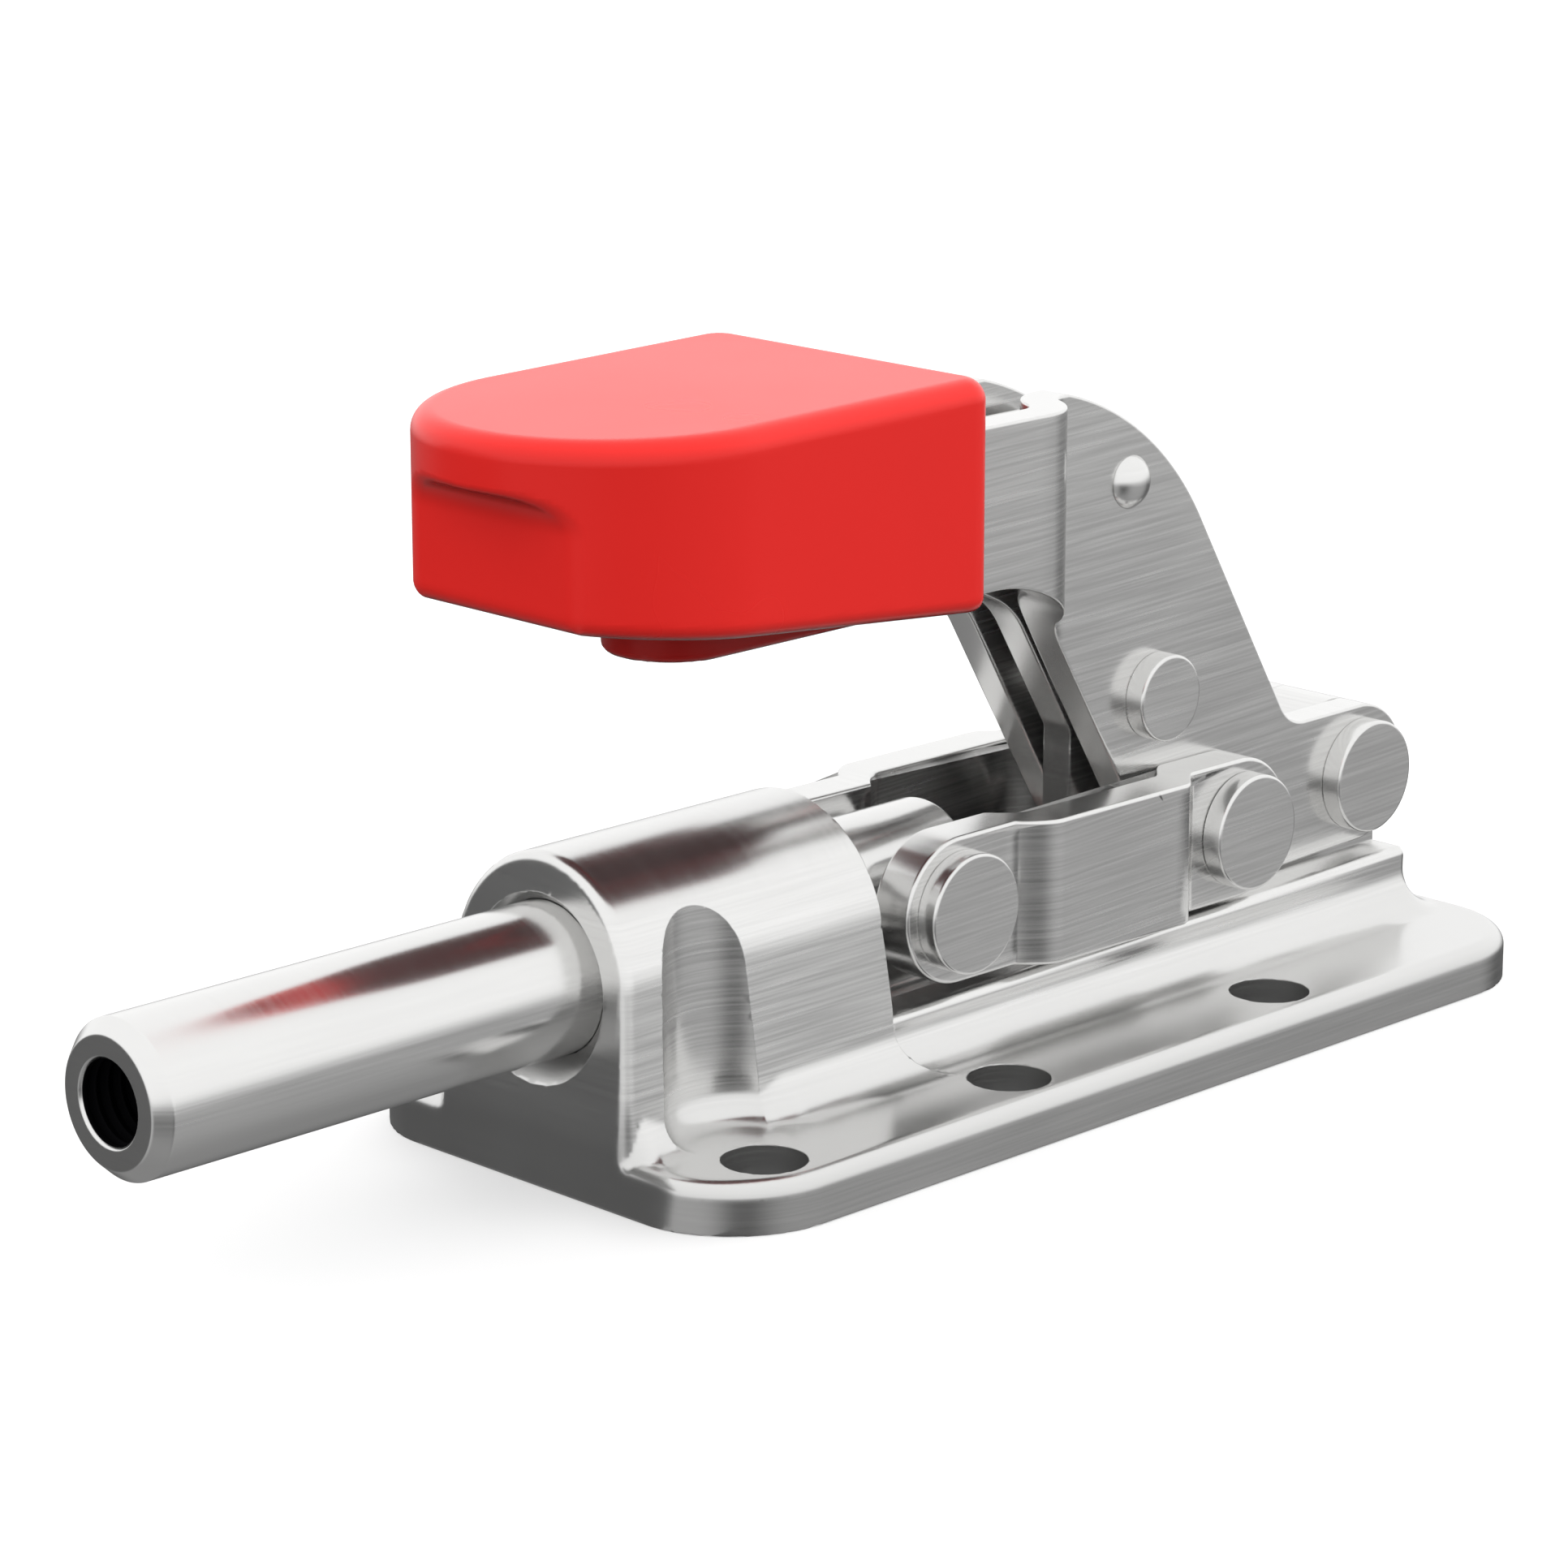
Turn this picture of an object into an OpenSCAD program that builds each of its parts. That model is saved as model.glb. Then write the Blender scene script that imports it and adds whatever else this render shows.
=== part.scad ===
// Straight-line toggle clamp: a base with a barrel, a sliding plunger, two toggle links and a
// T-shaped hand grip on a two-plate lever.
// Frame: origin at the centre of the four outer bolt holes, on the underside of the base.
// +X runs from the plunger's tip to the rear, +Z is up, and the clamp is symmetric about Y = 0.
// The lever stands closed, with its toggle a little past dead centre.

/* [Base] */
// Length of the base flange
base_length = 156.2; // [154:0.2:160]
// Width of the base flange
base_width = 70; // [68:0.5:74]
// Radius of the flange's corners in plan
base_corner = 15.6; // [12:0.2:17]
// Thickness of the flange
flange_thickness = 6.5; // [6:0.1:7]
// Rounding of the flange's upper edge
flange_edge = 2.2; // [1:0.1:3]
// Diameter of the bolt holes
bolt_hole_d = 10.5; // [8.5:0.1:11]
// Distance between the front and rear bolt holes
bolt_spacing_x = 92.6; // [92:0.1:93]
// Distance between the bolt holes across the base
bolt_spacing_y = 54; // [53:0.5:55]
// Place of the middle pair of bolt holes along the base
middle_bolt_x = -3.7; // [-6:0.1:4]
// Distance from the front bolt holes to the base's front edge
front_margin = 13.5; // [13:0.1:14]
// Radius of the blends between the flange and what stands on it
foot_fillet = 5.5; // [3:0.5:6]

/* [Barrel and rails] */
// Height of the plunger's axis above the underside
axis_z = 25.1; // [25:0.05:26]
// Outer radius of the barrel
barrel_radius = 15.4; // [15:0.1:16]
// Front end of the barrel at the height of the axis
barrel_front = -57.7; // [-58:0.1:-57]
// Rear end of the barrel at the height of the axis
barrel_rear = -14.3; // [-15:0.1:-14]
// Draft of the barrel's walls, in millimetres for each millimetre of height
casting_draft = 0.085; // [0:0.005:0.1]
// Radius of the upright grooves that clear the front bolt heads
bolt_groove_radius = 9.4; // [9:0.1:10]
// Distance of the groove's axis behind the front bolt holes
bolt_groove_setback = 1.5; // [0:0.1:2]
// Distance of the groove's axis from the middle plane
bolt_groove_y = 21.8; // [21.4:0.1:23]
// Depth of the countersink at the mouth of the barrel's bore
mouth_countersink = 2; // [1:0.1:3]
// Distance between the rails' inner faces
channel_width = 19.8; // [19.6:0.1:20.4]
// Distance over the rails' outer faces
rail_span = 31; // [30:0.5:32]
// Height of the rails' top at the barrel
rail_top_front = 13.7; // [12:0.1:14.5]
// Height of the rails' top at the rear
rail_top_rear = 15.1; // [14:0.1:15.2]
// Rear end of the rails
rail_rear = 89.3; // [86:0.1:92]

/* [Plunger] */
// Diameter of the plunger
plunger_d = 19.05; // [18:0.05:19.1]
// Distance from the plunger's tip to its cross pin
tip_to_pin = 120.7; // [110:0.1:125]
// Distance from the cross pin to the plunger's rear end
pin_to_tail = 9.8; // [9:0.1:10]
// Length of the chamfer at the tip
tip_chamfer = 1.9; // [1:0.1:3]
// Width of the chamfer at the tip
tip_chamfer_width = 1.7; // [1:0.1:2.5]
// Tapping diameter of the M12 hole in the tip
spindle_hole_d = 10.2; // [8.5:0.1:10.5]
// Depth of the hole in the tip
spindle_hole_depth = 28; // [20:1:40]

/* [Toggle] */
// Place of the plunger's cross pin with the clamp closed
plunger_pin_x = -0.8; // [-1:0.1:0]
// Place of the pin that joins the links to the lever
toggle_pin_x = 53.25; // [53:0.05:54]
// How far the toggle pin lies below the dead-centre line
over_centre = 0.3; // [0.1:0.05:0.6]
// Place of the pin that joins the lever to the base
base_pivot_x = 85.35; // [85:0.05:86]
// Diameter of the shanks of the three large pins
pin_d = 9.5; // [8:0.1:10]
// Diameter of the heads of the three large pins
pin_head_d = 15.5; // [14:0.1:16]
// Thickness of every pin head
pin_head_t = 2.95; // [2:0.05:3]
// Thickness of a link
link_t = 6; // [5:0.1:6.1]
// Radius of a link's eyes
link_eye_r = 9.5; // [9:0.1:9.6]
// How far the middle of a link stands outside its eyes
link_joggle = 3.45; // [3.2:0.05:4]
// Wall of the bushes in the lug and in the plunger
bush_wall = 1.5; // [1:0.1:1.6]

/* [Lever] */
// Thickness of a lever plate
lever_plate_t = 4.85; // [4:0.05:5]
// Thickness of the base's lug between the lever plates
lug_t = 9.6; // [9:0.1:10]
// How far each lever plate steps outwards towards the grip
lever_joggle = 7; // [6:0.1:7.2]
// Angle of the bends in that step
joggle_angle = 68; // [55:1:70]
// Radius of the lever plates about the base pivot
ear_radius = 9.6; // [9.4:0.1:9.8]
// Radius of the lever plates about the toggle pin
elbow_radius = 10.3; // [10:0.1:10.5]
// Lean of the lever's legs and of its back, in degrees from upright
lever_lean = 31.1; // [30:0.1:32]
// Height of the lever plates' top at the grip
lever_top = 86; // [85:0.1:86]
// Centre of the lever's curved back along the clamp
back_centre_x = 13.6; // [13.4:0.1:13.8]
// Height of the centre of the curved back
back_centre_z = 43.8; // [43.6:0.1:44]
// Radius of the curved back
back_radius = 43.7; // [43.5:0.1:44]
// Height of the lower edge of the lever plates at the grip
arch_top = 65.1; // [65:0.1:66]
// Radius of the arch between that edge and the legs
arch_radius = 22.5; // [22:0.1:23]
// Place of the arch's top along the clamp
arch_x = 4.2; // [4:0.1:4.5]
// Thickness of the plate between the lever plates
centre_plate_t = 4.8; // [4:0.1:5]
// Place of the pin above the toggle pin, along the clamp
lever_pin_x = 42.4; // [42:0.1:43]
// Height of the pin above the toggle pin
lever_pin_z = 43.9; // [43:0.1:45]
// Diameter of the shank of the pin above the toggle pin
lever_pin_d = 7; // [6:0.1:8]
// Diameter of the heads of the pin above the toggle pin
lever_pin_head_d = 11.5; // [10:0.1:12]
// Place of the rivet near the grip, along the clamp
rivet_x = 36.9; // [36:0.1:38]
// Height of the rivet near the grip
rivet_z = 73; // [71:0.1:74]
// Diameter of the rivet's shank
rivet_d = 4.8; // [4:0.1:5]
// Diameter of the rivet's domed heads
rivet_head_d = 7; // [6.5:0.1:8]

/* [Grip] */
// Width of the grip
grip_width = 48.4; // [47:0.2:49]
// Rear face of the grip
grip_rear = -3.6; // [-4:0.1:-3]
// Centre of the grip's round front end
grip_nose_x = -43.9; // [-45:0.1:-43]
// Height of the grip's top at its rear face
grip_top = 94; // [93.5:0.1:95]
// Rise of the grip's top for each millimetre to the rear
grip_top_slope = 0.017; // [0:0.001:0.02]
// Height of the grip's underside at its rear face
grip_bottom = 65; // [64.6:0.1:65]
// Drop of the grip's underside for each millimetre to the rear
grip_bottom_slope = 0.09; // [0.08:0.005:0.095]
// Thickness of the lip round the grip's front
grip_lip_t = 8.4; // [7:0.1:10]
// How far the lip stands out beyond the front face below it
grip_lip_reach = 4.4; // [3:0.1:6]
// Rounding of the grip's upright rear corners
grip_corner = 2.6; // [1:0.1:4]
// Height of the boss under the grip
boss_bottom = 62; // [61:0.1:63]
// Width of the boss under the grip
boss_width = 17; // [14:0.5:20]
// Front end of the boss under the grip
boss_front = -43.7; // [-46:0.1:-42]

/* [Hidden] */
$fn = 96;

// Clearance of a pin in the bore that turns on it, and of a pin in a bore that grips it
running_gap = 0.05;
press_gap = 0.02;
// Gap between the flat faces of pieces that turn side by side
side_gap = 0.05;
// Overshoot of a cutting shape past the face that it cuts
cut = 1;

base_front = -bolt_spacing_x / 2 - front_margin;
base_rear = base_front + base_length;
plunger_r = plunger_d / 2;
barrel_bore_r = plunger_r + running_gap;
toggle_z = axis_z - over_centre;
pin_r = pin_d / 2;
bush_r = pin_r + bush_wall;

// Planes of the plates, measured from the middle plane outwards
lug_side = lug_t / 2;
lever_in = lug_side + side_gap;
lever_out = lever_in + lever_plate_t;
link_in = lever_out + side_gap;
link_out = link_in + link_t;
centre_side = centre_plate_t / 2;

// Stretches along a link, from its front end, where it steps outwards and back
link_step_out = [10.3, 13.8];
link_step_in = [39, 44.5];
// Front end of the step in the lever plates
joggle_front = 13.7;
// Front end of the lever plates inside the grip, and their height there
tongue_front = -38;
tongue_low = 71;
tongue_high = 84;
// Curve between the lever's back and the top of its ear
notch_radius = 6;
// Top of the centre plate, and how far its back lies inside that of the lever plates
centre_top = 82;
centre_back_inset = 1.5;
// Front edge of the centre plate: its upright part, the curve above it and the arm into the boss
centre_front = 34.1;
centre_bend_z = 39.2;
centre_arch_r = 11.9;
centre_arch = [14.7, 48.2];
centre_arch_end = 65;
arm_bottom = 64;
arm_bend_x = 9;
// Depth of the countersink at the spindle hole and of the chamfer at the plunger's tail
spindle_countersink = 1.1;
tail_chamfer = 0.6;
// Bevel of the pin heads, and height of the rivet's domes
head_bevel = 0.35;
rivet_head_t = 2.1;
// Reach of the lug's foot in front of the pivot and behind it
lug_foot_front = 14;
lug_foot_rear = 10.2;
// Wall of the spacer rings, and chamfer round the top of the grip's nose
spacer_wall = 3.2;
grip_edge = 1.4;

// A point at an angle on a circle, and the points of an arc
function on_circle(c, r, a) = [c[0] + r * cos(a), c[1] + r * sin(a)];
function arc(c, r, a0, a1, n = 12) = [for (i = [0:n]) on_circle(c, r, a0 + (a1 - a0) * i / n)];
// The grip's top and underside at a place along the clamp
function grip_top_z(x) = grip_top + grip_top_slope * (x - grip_rear);
function grip_bottom_z(x) = grip_bottom - grip_bottom_slope * (x - grip_rear);
// The curved back of the lever's plates, from a top edge down to the straight slope
function back_edge(top, inset) = arc([back_centre_x, back_centre_z], back_radius - inset,
    asin((top - back_centre_z) / (back_radius - inset)), lever_lean, 16);

// A side outline in X and Z, given thickness along Y about the middle plane
module side_plate(y0, y1) {
    translate([0, y1, 0]) rotate([90, 0, 0]) linear_extrude(y1 - y0) children();
}

// A cross-section in Y and Z, drawn out along X
module along_x(x0, x1) {
    translate([x0, 0, 0]) rotate([90, 0, 90]) linear_extrude(x1 - x0) children();
}

// A cylinder along Y
module cross_rod(x, z, r, y0, y1) {
    translate([x, y1, z]) rotate([90, 0, 0]) cylinder(h = y1 - y0, r = r);
}

// The far piece of a pair: the near one mirrored in the middle plane
module far() {
    mirror([0, 1, 0]) children();
}

// Flange with a rounded upper edge: its section is turned at the corners and run along the sides
module flange_section(reach) {
    polygon(concat([[0, 0], [reach, 0], [reach, flange_thickness - flange_edge]],
        arc([reach - flange_edge, flange_thickness - flange_edge], flange_edge, 7.5, 90),
        [[0, flange_thickness]]));
}

module flange() {
    x0 = base_front + base_corner;
    x1 = base_rear - base_corner;
    y1 = base_width / 2 - base_corner;
    for (x = [x0, x1], y = [-y1, y1])
        translate([x, y, 0]) rotate_extrude() flange_section(base_corner);
    along_x(x0, x1) {
        flange_section(base_width / 2);
        mirror([1, 0]) flange_section(base_width / 2);
    }
    side_plate(-y1, y1) {
        translate([x0, 0]) mirror([1, 0]) flange_section(base_corner);
        translate([x0, 0]) square([x1 - x0, flange_thickness]);
        translate([x1, 0]) flange_section(base_corner);
    }
}

// Half of a wall's cross-section whose foot blends into the flange
module footed_half(top_outline, foot_y) {
    polygon(concat(top_outline,
        arc([foot_y + foot_fillet, flange_thickness + foot_fillet], foot_fillet, 180, 270, 8),
        [[foot_y + foot_fillet, flange_thickness - cut], [0, flange_thickness - cut]]));
}

// Barrel: an upright tunnel with drafted walls
module barrel() {
    foot_y = barrel_radius + casting_draft * (axis_z - flange_thickness - foot_fillet);
    lean = atan(casting_draft);
    top = barrel_radius + axis_z + cut;
    intersection() {
        along_x(base_front, barrel_rear + foot_fillet + cut)
            for (side = [0, 1]) mirror([side, 0])
                footed_half(concat([[0, axis_z + barrel_radius]],
                    [for (i = [1:20]) on_circle([0, axis_z], barrel_radius, 90 - (90 - lean) * i / 20)]),
                    foot_y);
        side_plate(-base_width / 2, base_width / 2)
            polygon(concat(
                [[barrel_front - casting_draft * axis_z, 0],
                 [barrel_front + casting_draft * (top - axis_z), top],
                 [barrel_rear - casting_draft * (top - axis_z), top]],
                arc([barrel_rear + casting_draft * (axis_z - flange_thickness) + foot_fillet,
                     flange_thickness + foot_fillet], foot_fillet, 180, 270, 8),
                [[barrel_rear + foot_fillet + 2, 0]]));
    }
}

// Rails: two low walls from the barrel to the rear
module rails() {
    intersection() {
        along_x(barrel_rear, rail_rear)
            for (side = [0, 1]) mirror([side, 0])
                difference() {
                    footed_half([[0, axis_z], [rail_span / 2, axis_z]], rail_span / 2);
                    translate([-cut, flange_thickness])
                        square([channel_width / 2 + cut, axis_z]);
                }
        side_plate(-base_width / 2, base_width / 2)
            polygon([[barrel_rear, 0], [rail_rear, 0], [rail_rear, rail_top_rear],
                [barrel_rear, rail_top_front]]);
    }
}

// Lug: the upright ear that carries the lever
module lug() {
    pivot = [base_pivot_x, axis_z];
    side_plate(-lug_side, lug_side)
        polygon(concat(arc(pivot, ear_radius, -8, 188, 36),
            [[base_pivot_x - lug_foot_front, flange_thickness - cut],
             [base_pivot_x + lug_foot_rear, flange_thickness - cut]]));
}

module base_casting() {
    color("silver")
    difference() {
        union() {
            flange();
            barrel();
            rails();
            lug();
        }
        for (x = [-bolt_spacing_x / 2, middle_bolt_x, bolt_spacing_x / 2], side = [-1, 1])
            translate([x, side * bolt_spacing_y / 2, -cut])
                cylinder(h = axis_z, d = bolt_hole_d);
        for (side = [-1, 1])
            translate([-bolt_spacing_x / 2 + bolt_groove_setback, side * bolt_groove_y, flange_thickness])
                cylinder(h = axis_z + barrel_radius, r = bolt_groove_radius);
        translate([base_front - cut, 0, axis_z]) rotate([0, 90, 0])
            cylinder(h = barrel_rear - base_front + 2 * foot_fillet, r = barrel_bore_r);
        translate([barrel_front - mouth_countersink, 0, axis_z]) rotate([0, 90, 0])
            cylinder(h = 2 * mouth_countersink, r1 = barrel_bore_r + 2 * mouth_countersink, r2 = barrel_bore_r);
        cross_rod(base_pivot_x, axis_z, bush_r + press_gap, -base_width / 2, base_width / 2);
    }
}

// A plain bush along Y
module bush(x, z, half) {
    difference() {
        cross_rod(x, z, bush_r, -half, half);
        cross_rod(x, z, pin_r + running_gap, -half - cut, half + cut);
    }
}

module lug_bush() {
    color("goldenrod") bush(base_pivot_x, axis_z, lug_side);
}

// Plunger: a turned bar, tapped at the tip and cross-bored near its tail
module plunger() {
    tip_x = plunger_pin_x - tip_to_pin;
    length = tip_to_pin + pin_to_tail;
    color("gainsboro")
    difference() {
        translate([tip_x, 0, axis_z]) rotate([0, 90, 0]) rotate_extrude()
            polygon([[0, 0], [plunger_r - tip_chamfer_width, 0], [plunger_r, tip_chamfer],
                [plunger_r, length - tail_chamfer], [plunger_r - tail_chamfer, length], [0, length]]);
        translate([tip_x - cut, 0, axis_z]) rotate([0, 90, 0])
            cylinder(h = spindle_hole_depth + cut, d = spindle_hole_d);
        translate([tip_x - spindle_countersink, 0, axis_z]) rotate([0, 90, 0])
            cylinder(h = 2 * spindle_countersink, r1 = spindle_hole_d / 2 + 2 * spindle_countersink,
                r2 = spindle_hole_d / 2);
        cross_rod(plunger_pin_x, axis_z, bush_r + press_gap, -plunger_d, plunger_d);
    }
}

// The bush and the middle of the cross pin end inside the plunger's round sides
module plunger_bush() {
    color("goldenrod") bush(plunger_pin_x, axis_z, sqrt(plunger_r * plunger_r - bush_r * bush_r));
}

module plunger_pin() {
    half = sqrt(plunger_r * plunger_r - pin_r * pin_r);
    color("silver") cross_rod(plunger_pin_x, axis_z, pin_r, -half, half);
}

// A pin head: a disc with a small bevel round its outer face
module pin_head(x, z, r, y_in) {
    translate([x, y_in, z]) rotate([90, 0, 0]) rotate_extrude()
        polygon([[0, 0], [r, 0], [r, pin_head_t - head_bevel], [r - head_bevel, pin_head_t],
            [0, pin_head_t]]);
}

// The near end of the plunger's cross pin, which a link carries
module pin_end() {
    cross_rod(plunger_pin_x, axis_z, pin_r, -link_out, -link_in);
    pin_head(plunger_pin_x, axis_z, pin_head_d / 2, -link_out);
}

module plunger_pin_end_near() {
    color("silver") pin_end();
}

module plunger_pin_end_far() {
    color("silver") far() pin_end();
}

// Link: a straight bar with round ends, whose middle is pressed outwards
module link() {
    front = plunger_pin_x - link_eye_r;
    rear = toggle_pin_x + link_eye_r;
    x1 = plunger_pin_x + link_step_out[0];
    x2 = plunger_pin_x + link_step_out[1];
    x3 = plunger_pin_x + link_step_in[0];
    x4 = plunger_pin_x + link_step_in[1];
    tilt = atan(over_centre / (toggle_pin_x - plunger_pin_x));
    inner = [[front - cut, 0], [x1, 0], [x2, link_joggle], [x3, link_joggle], [x4, 0], [rear + cut, 0]];
    difference() {
        intersection() {
            side_plate(-base_width / 2, 0)
                polygon(concat(arc([plunger_pin_x, axis_z], link_eye_r, 90 - tilt, 270 - tilt, 24),
                    arc([toggle_pin_x, toggle_z], link_eye_r, -90 - tilt, 90 - tilt, 24)));
            linear_extrude(2 * axis_z)
                polygon(concat([for (p = inner) [p[0], -link_in - p[1]]],
                    [for (i = [len(inner) - 1:-1:0]) [inner[i][0], -link_out - inner[i][1]]]));
        }
        cross_rod(plunger_pin_x, axis_z, pin_r + press_gap, -base_width / 2, 0);
        cross_rod(toggle_pin_x, toggle_z, pin_r + running_gap, -base_width / 2, 0);
    }
}

module link_near() {
    color("lightgray") link();
}

module link_far() {
    color("lightgray") far() link();
}

// A pin right across the clamp, with a head at each end
module headed_pin(x, z, shank_r, head_r, half) {
    cross_rod(x, z, shank_r, -half, half);
    pin_head(x, z, head_r, -half);
    far() pin_head(x, z, head_r, -half);
}

module toggle_pin() {
    color("silver") headed_pin(toggle_pin_x, toggle_z, pin_r, pin_head_d / 2, link_out + side_gap);
}

module base_pivot_pin() {
    color("silver") headed_pin(base_pivot_x, axis_z, pin_r, pin_head_d / 2, lever_out);
}

module lever_pin() {
    color("silver")
        headed_pin(lever_pin_x, lever_pin_z, lever_pin_d / 2, lever_pin_head_d / 2, lever_out);
}

// Domed rivet head: a cap of a sphere
module rivet_head() {
    r = rivet_head_d / 2;
    ball = (r * r + rivet_head_t * rivet_head_t) / (2 * rivet_head_t);
    intersection() {
        translate([rivet_x, -lever_out + ball - rivet_head_t, rivet_z]) sphere(r = ball);
        cross_rod(rivet_x, rivet_z, r, -lever_out - rivet_head_t, -lever_out);
    }
}

module grip_rivet() {
    color("silver") {
        cross_rod(rivet_x, rivet_z, rivet_d / 2, -lever_out, lever_out);
        rivet_head();
        far() rivet_head();
    }
}

// Side outline of a lever plate, from the grip round the back to the pivot and up the leg
module lever_outline() {
    ear_top = axis_z + ear_radius - side_gap;
    // The notch's round, which touches the sloping back and the ear's top
    notch_z = ear_top + notch_radius;
    notch_x = back_centre_x + (back_radius + notch_radius - (notch_z - back_centre_z) * sin(lever_lean))
        / cos(lever_lean);
    polygon(concat(
        [[tongue_front, tongue_low], [tongue_front, tongue_high],
         [grip_rear - cut, tongue_high], [grip_rear - cut, lever_top]],
        back_edge(lever_top, 0),
        arc([notch_x, notch_z], notch_radius, 180 + lever_lean, 270, 6),
        arc([base_pivot_x, axis_z], ear_radius, 86, -88, 28),
        arc([toggle_pin_x, toggle_z], elbow_radius, 268, 180 + lever_lean, 16),
        arc([arch_x, arch_top - arch_radius], arch_radius, lever_lean, 90, 16),
        [[grip_rear - cut, arch_top], [grip_rear - cut, tongue_low]]));
}

// Plan of a lever plate: straight along the lever, then two bends outwards to the grip
module lever_plan() {
    x0 = tongue_front - cut;
    x1 = base_pivot_x + ear_radius + cut;
    t = lever_plate_t;
    r = lever_joggle / (2 * (1 - cos(joggle_angle)));
    front_bend = [joggle_front, lever_joggle + t / 2 - r];
    rear_bend = [joggle_front + 2 * r * sin(joggle_angle), t / 2 + r];
    outer_face = concat([[x0, lever_joggle + t]],
        arc(front_bend, r + t / 2, 90, 90 - joggle_angle),
        arc(rear_bend, r - t / 2, 270 - joggle_angle, 270), [[x1, t]]);
    inner_face = concat([[x1, 0]], arc(rear_bend, r + t / 2, 270, 270 - joggle_angle),
        arc(front_bend, r - t / 2, 90 - joggle_angle, 90), [[x0, lever_joggle]]);
    translate([0, -lever_in]) mirror([0, 1]) polygon(concat(outer_face, inner_face));
}

module lever_plate() {
    difference() {
        intersection() {
            side_plate(-base_width / 2, 0) lever_outline();
            linear_extrude(grip_top) lever_plan();
        }
        cross_rod(base_pivot_x, axis_z, pin_r + press_gap, -base_width / 2, 0);
        cross_rod(toggle_pin_x, toggle_z, pin_r + press_gap, -base_width / 2, 0);
        cross_rod(lever_pin_x, lever_pin_z, lever_pin_d / 2 + press_gap, -base_width / 2, 0);
        cross_rod(rivet_x, rivet_z, rivet_d / 2 + press_gap, -base_width / 2, 0);
    }
}

module lever_plate_near() {
    color("lightgray") lever_plate();
}

module lever_plate_far() {
    color("lightgray") far() lever_plate();
}

// Centre plate: fills the lever between its plates and reaches forward into the grip's boss
module centre_outline() {
    polygon(concat(
        [[tongue_front, arm_bottom], [tongue_front, centre_top]],
        back_edge(centre_top, centre_back_inset),
        arc([toggle_pin_x, toggle_z], elbow_radius, lever_lean, -90, 16),
        [[centre_front, toggle_z - elbow_radius], [centre_front, centre_bend_z]],
        arc(centre_arch, centre_arch_r, lever_lean, centre_arch_end, 8),
        [[arm_bend_x, arm_bottom]]));
}

module centre_plate() {
    color("gray")
    difference() {
        side_plate(-centre_side, centre_side) centre_outline();
        cross_rod(toggle_pin_x, toggle_z, pin_r + press_gap, -cut - centre_side, cut + centre_side);
        cross_rod(lever_pin_x, lever_pin_z, lever_pin_d / 2 + press_gap, -cut - centre_side, cut + centre_side);
        cross_rod(rivet_x, rivet_z, rivet_d / 2 + press_gap, -cut - centre_side, cut + centre_side);
    }
}

// Spacer: a ring on a pin that fills the gap between the centre plate and a lever plate
module spacer(x, z, shank_r) {
    difference() {
        cross_rod(x, z, shank_r + spacer_wall, -lever_in, -centre_side);
        cross_rod(x, z, shank_r + press_gap, -lever_out, 0);
    }
}

module toggle_spacer_near() {
    color("darkgray") spacer(toggle_pin_x, toggle_z, pin_r);
}

module toggle_spacer_far() {
    color("darkgray") far() spacer(toggle_pin_x, toggle_z, pin_r);
}

module lever_spacer_near() {
    color("darkgray") spacer(lever_pin_x, lever_pin_z, lever_pin_d / 2);
}

module lever_spacer_far() {
    color("darkgray") far() spacer(lever_pin_x, lever_pin_z, lever_pin_d / 2);
}

module rivet_spacer_near() {
    color("darkgray") spacer(rivet_x, rivet_z, rivet_d / 2);
}

module rivet_spacer_far() {
    color("darkgray") far() spacer(rivet_x, rivet_z, rivet_d / 2);
}

// Plan of the grip: square at the rear with small corners, round in front
module grip_plan() {
    half = grip_width / 2;
    polygon(concat(
        arc([grip_nose_x, 0], half, 90, 270, 48),
        arc([grip_rear - grip_corner, -half + grip_corner], grip_corner, 270, 360, 8),
        arc([grip_rear - grip_corner, half - grip_corner], grip_corner, 0, 90, 8)));
}

// Side view of the grip, with the lip that hangs over its front face
module grip_side() {
    nose = grip_nose_x - grip_width / 2;
    face = nose + grip_lip_reach;
    lip_z = grip_top_z(nose) - grip_lip_t;
    polygon([[grip_rear + cut, grip_bottom_z(grip_rear + cut)],
        [grip_rear + cut, grip_top_z(grip_rear + cut)],
        [nose + grip_edge, grip_top_z(nose)], [nose, grip_top_z(nose) - grip_edge],
        [nose, lip_z], [face, lip_z], [face, grip_bottom_z(face)]]);
}

// Boss under the grip, round in front
module grip_boss() {
    half = boss_width / 2;
    translate([0, 0, boss_bottom]) linear_extrude(tongue_high - boss_bottom)
        polygon(concat(arc([boss_front + half, 0], half, 90, 270, 24),
            [[grip_rear, -half], [grip_rear, half]]));
}

module grip() {
    color("crimson")
    difference() {
        union() {
            intersection() {
                linear_extrude(grip_top + cut) grip_plan();
                side_plate(-base_width / 2, base_width / 2) grip_side();
            }
            grip_boss();
        }
        // Slots that hold the ends of the lever plates and of the centre plate
        for (side = [0, 1]) mirror([0, side, 0])
            intersection() {
                side_plate(-base_width / 2, 0) lever_outline();
                linear_extrude(grip_top) lever_plan();
            }
        side_plate(-centre_side, centre_side) centre_outline();
    }
}

base_casting();
lug_bush();
plunger();
plunger_bush();
plunger_pin();
plunger_pin_end_near();
plunger_pin_end_far();
link_near();
link_far();
toggle_pin();
base_pivot_pin();
lever_pin();
grip_rivet();
lever_plate_near();
lever_plate_far();
centre_plate();
toggle_spacer_near();
toggle_spacer_far();
lever_spacer_near();
lever_spacer_far();
rivet_spacer_near();
rivet_spacer_far();
grip();
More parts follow.
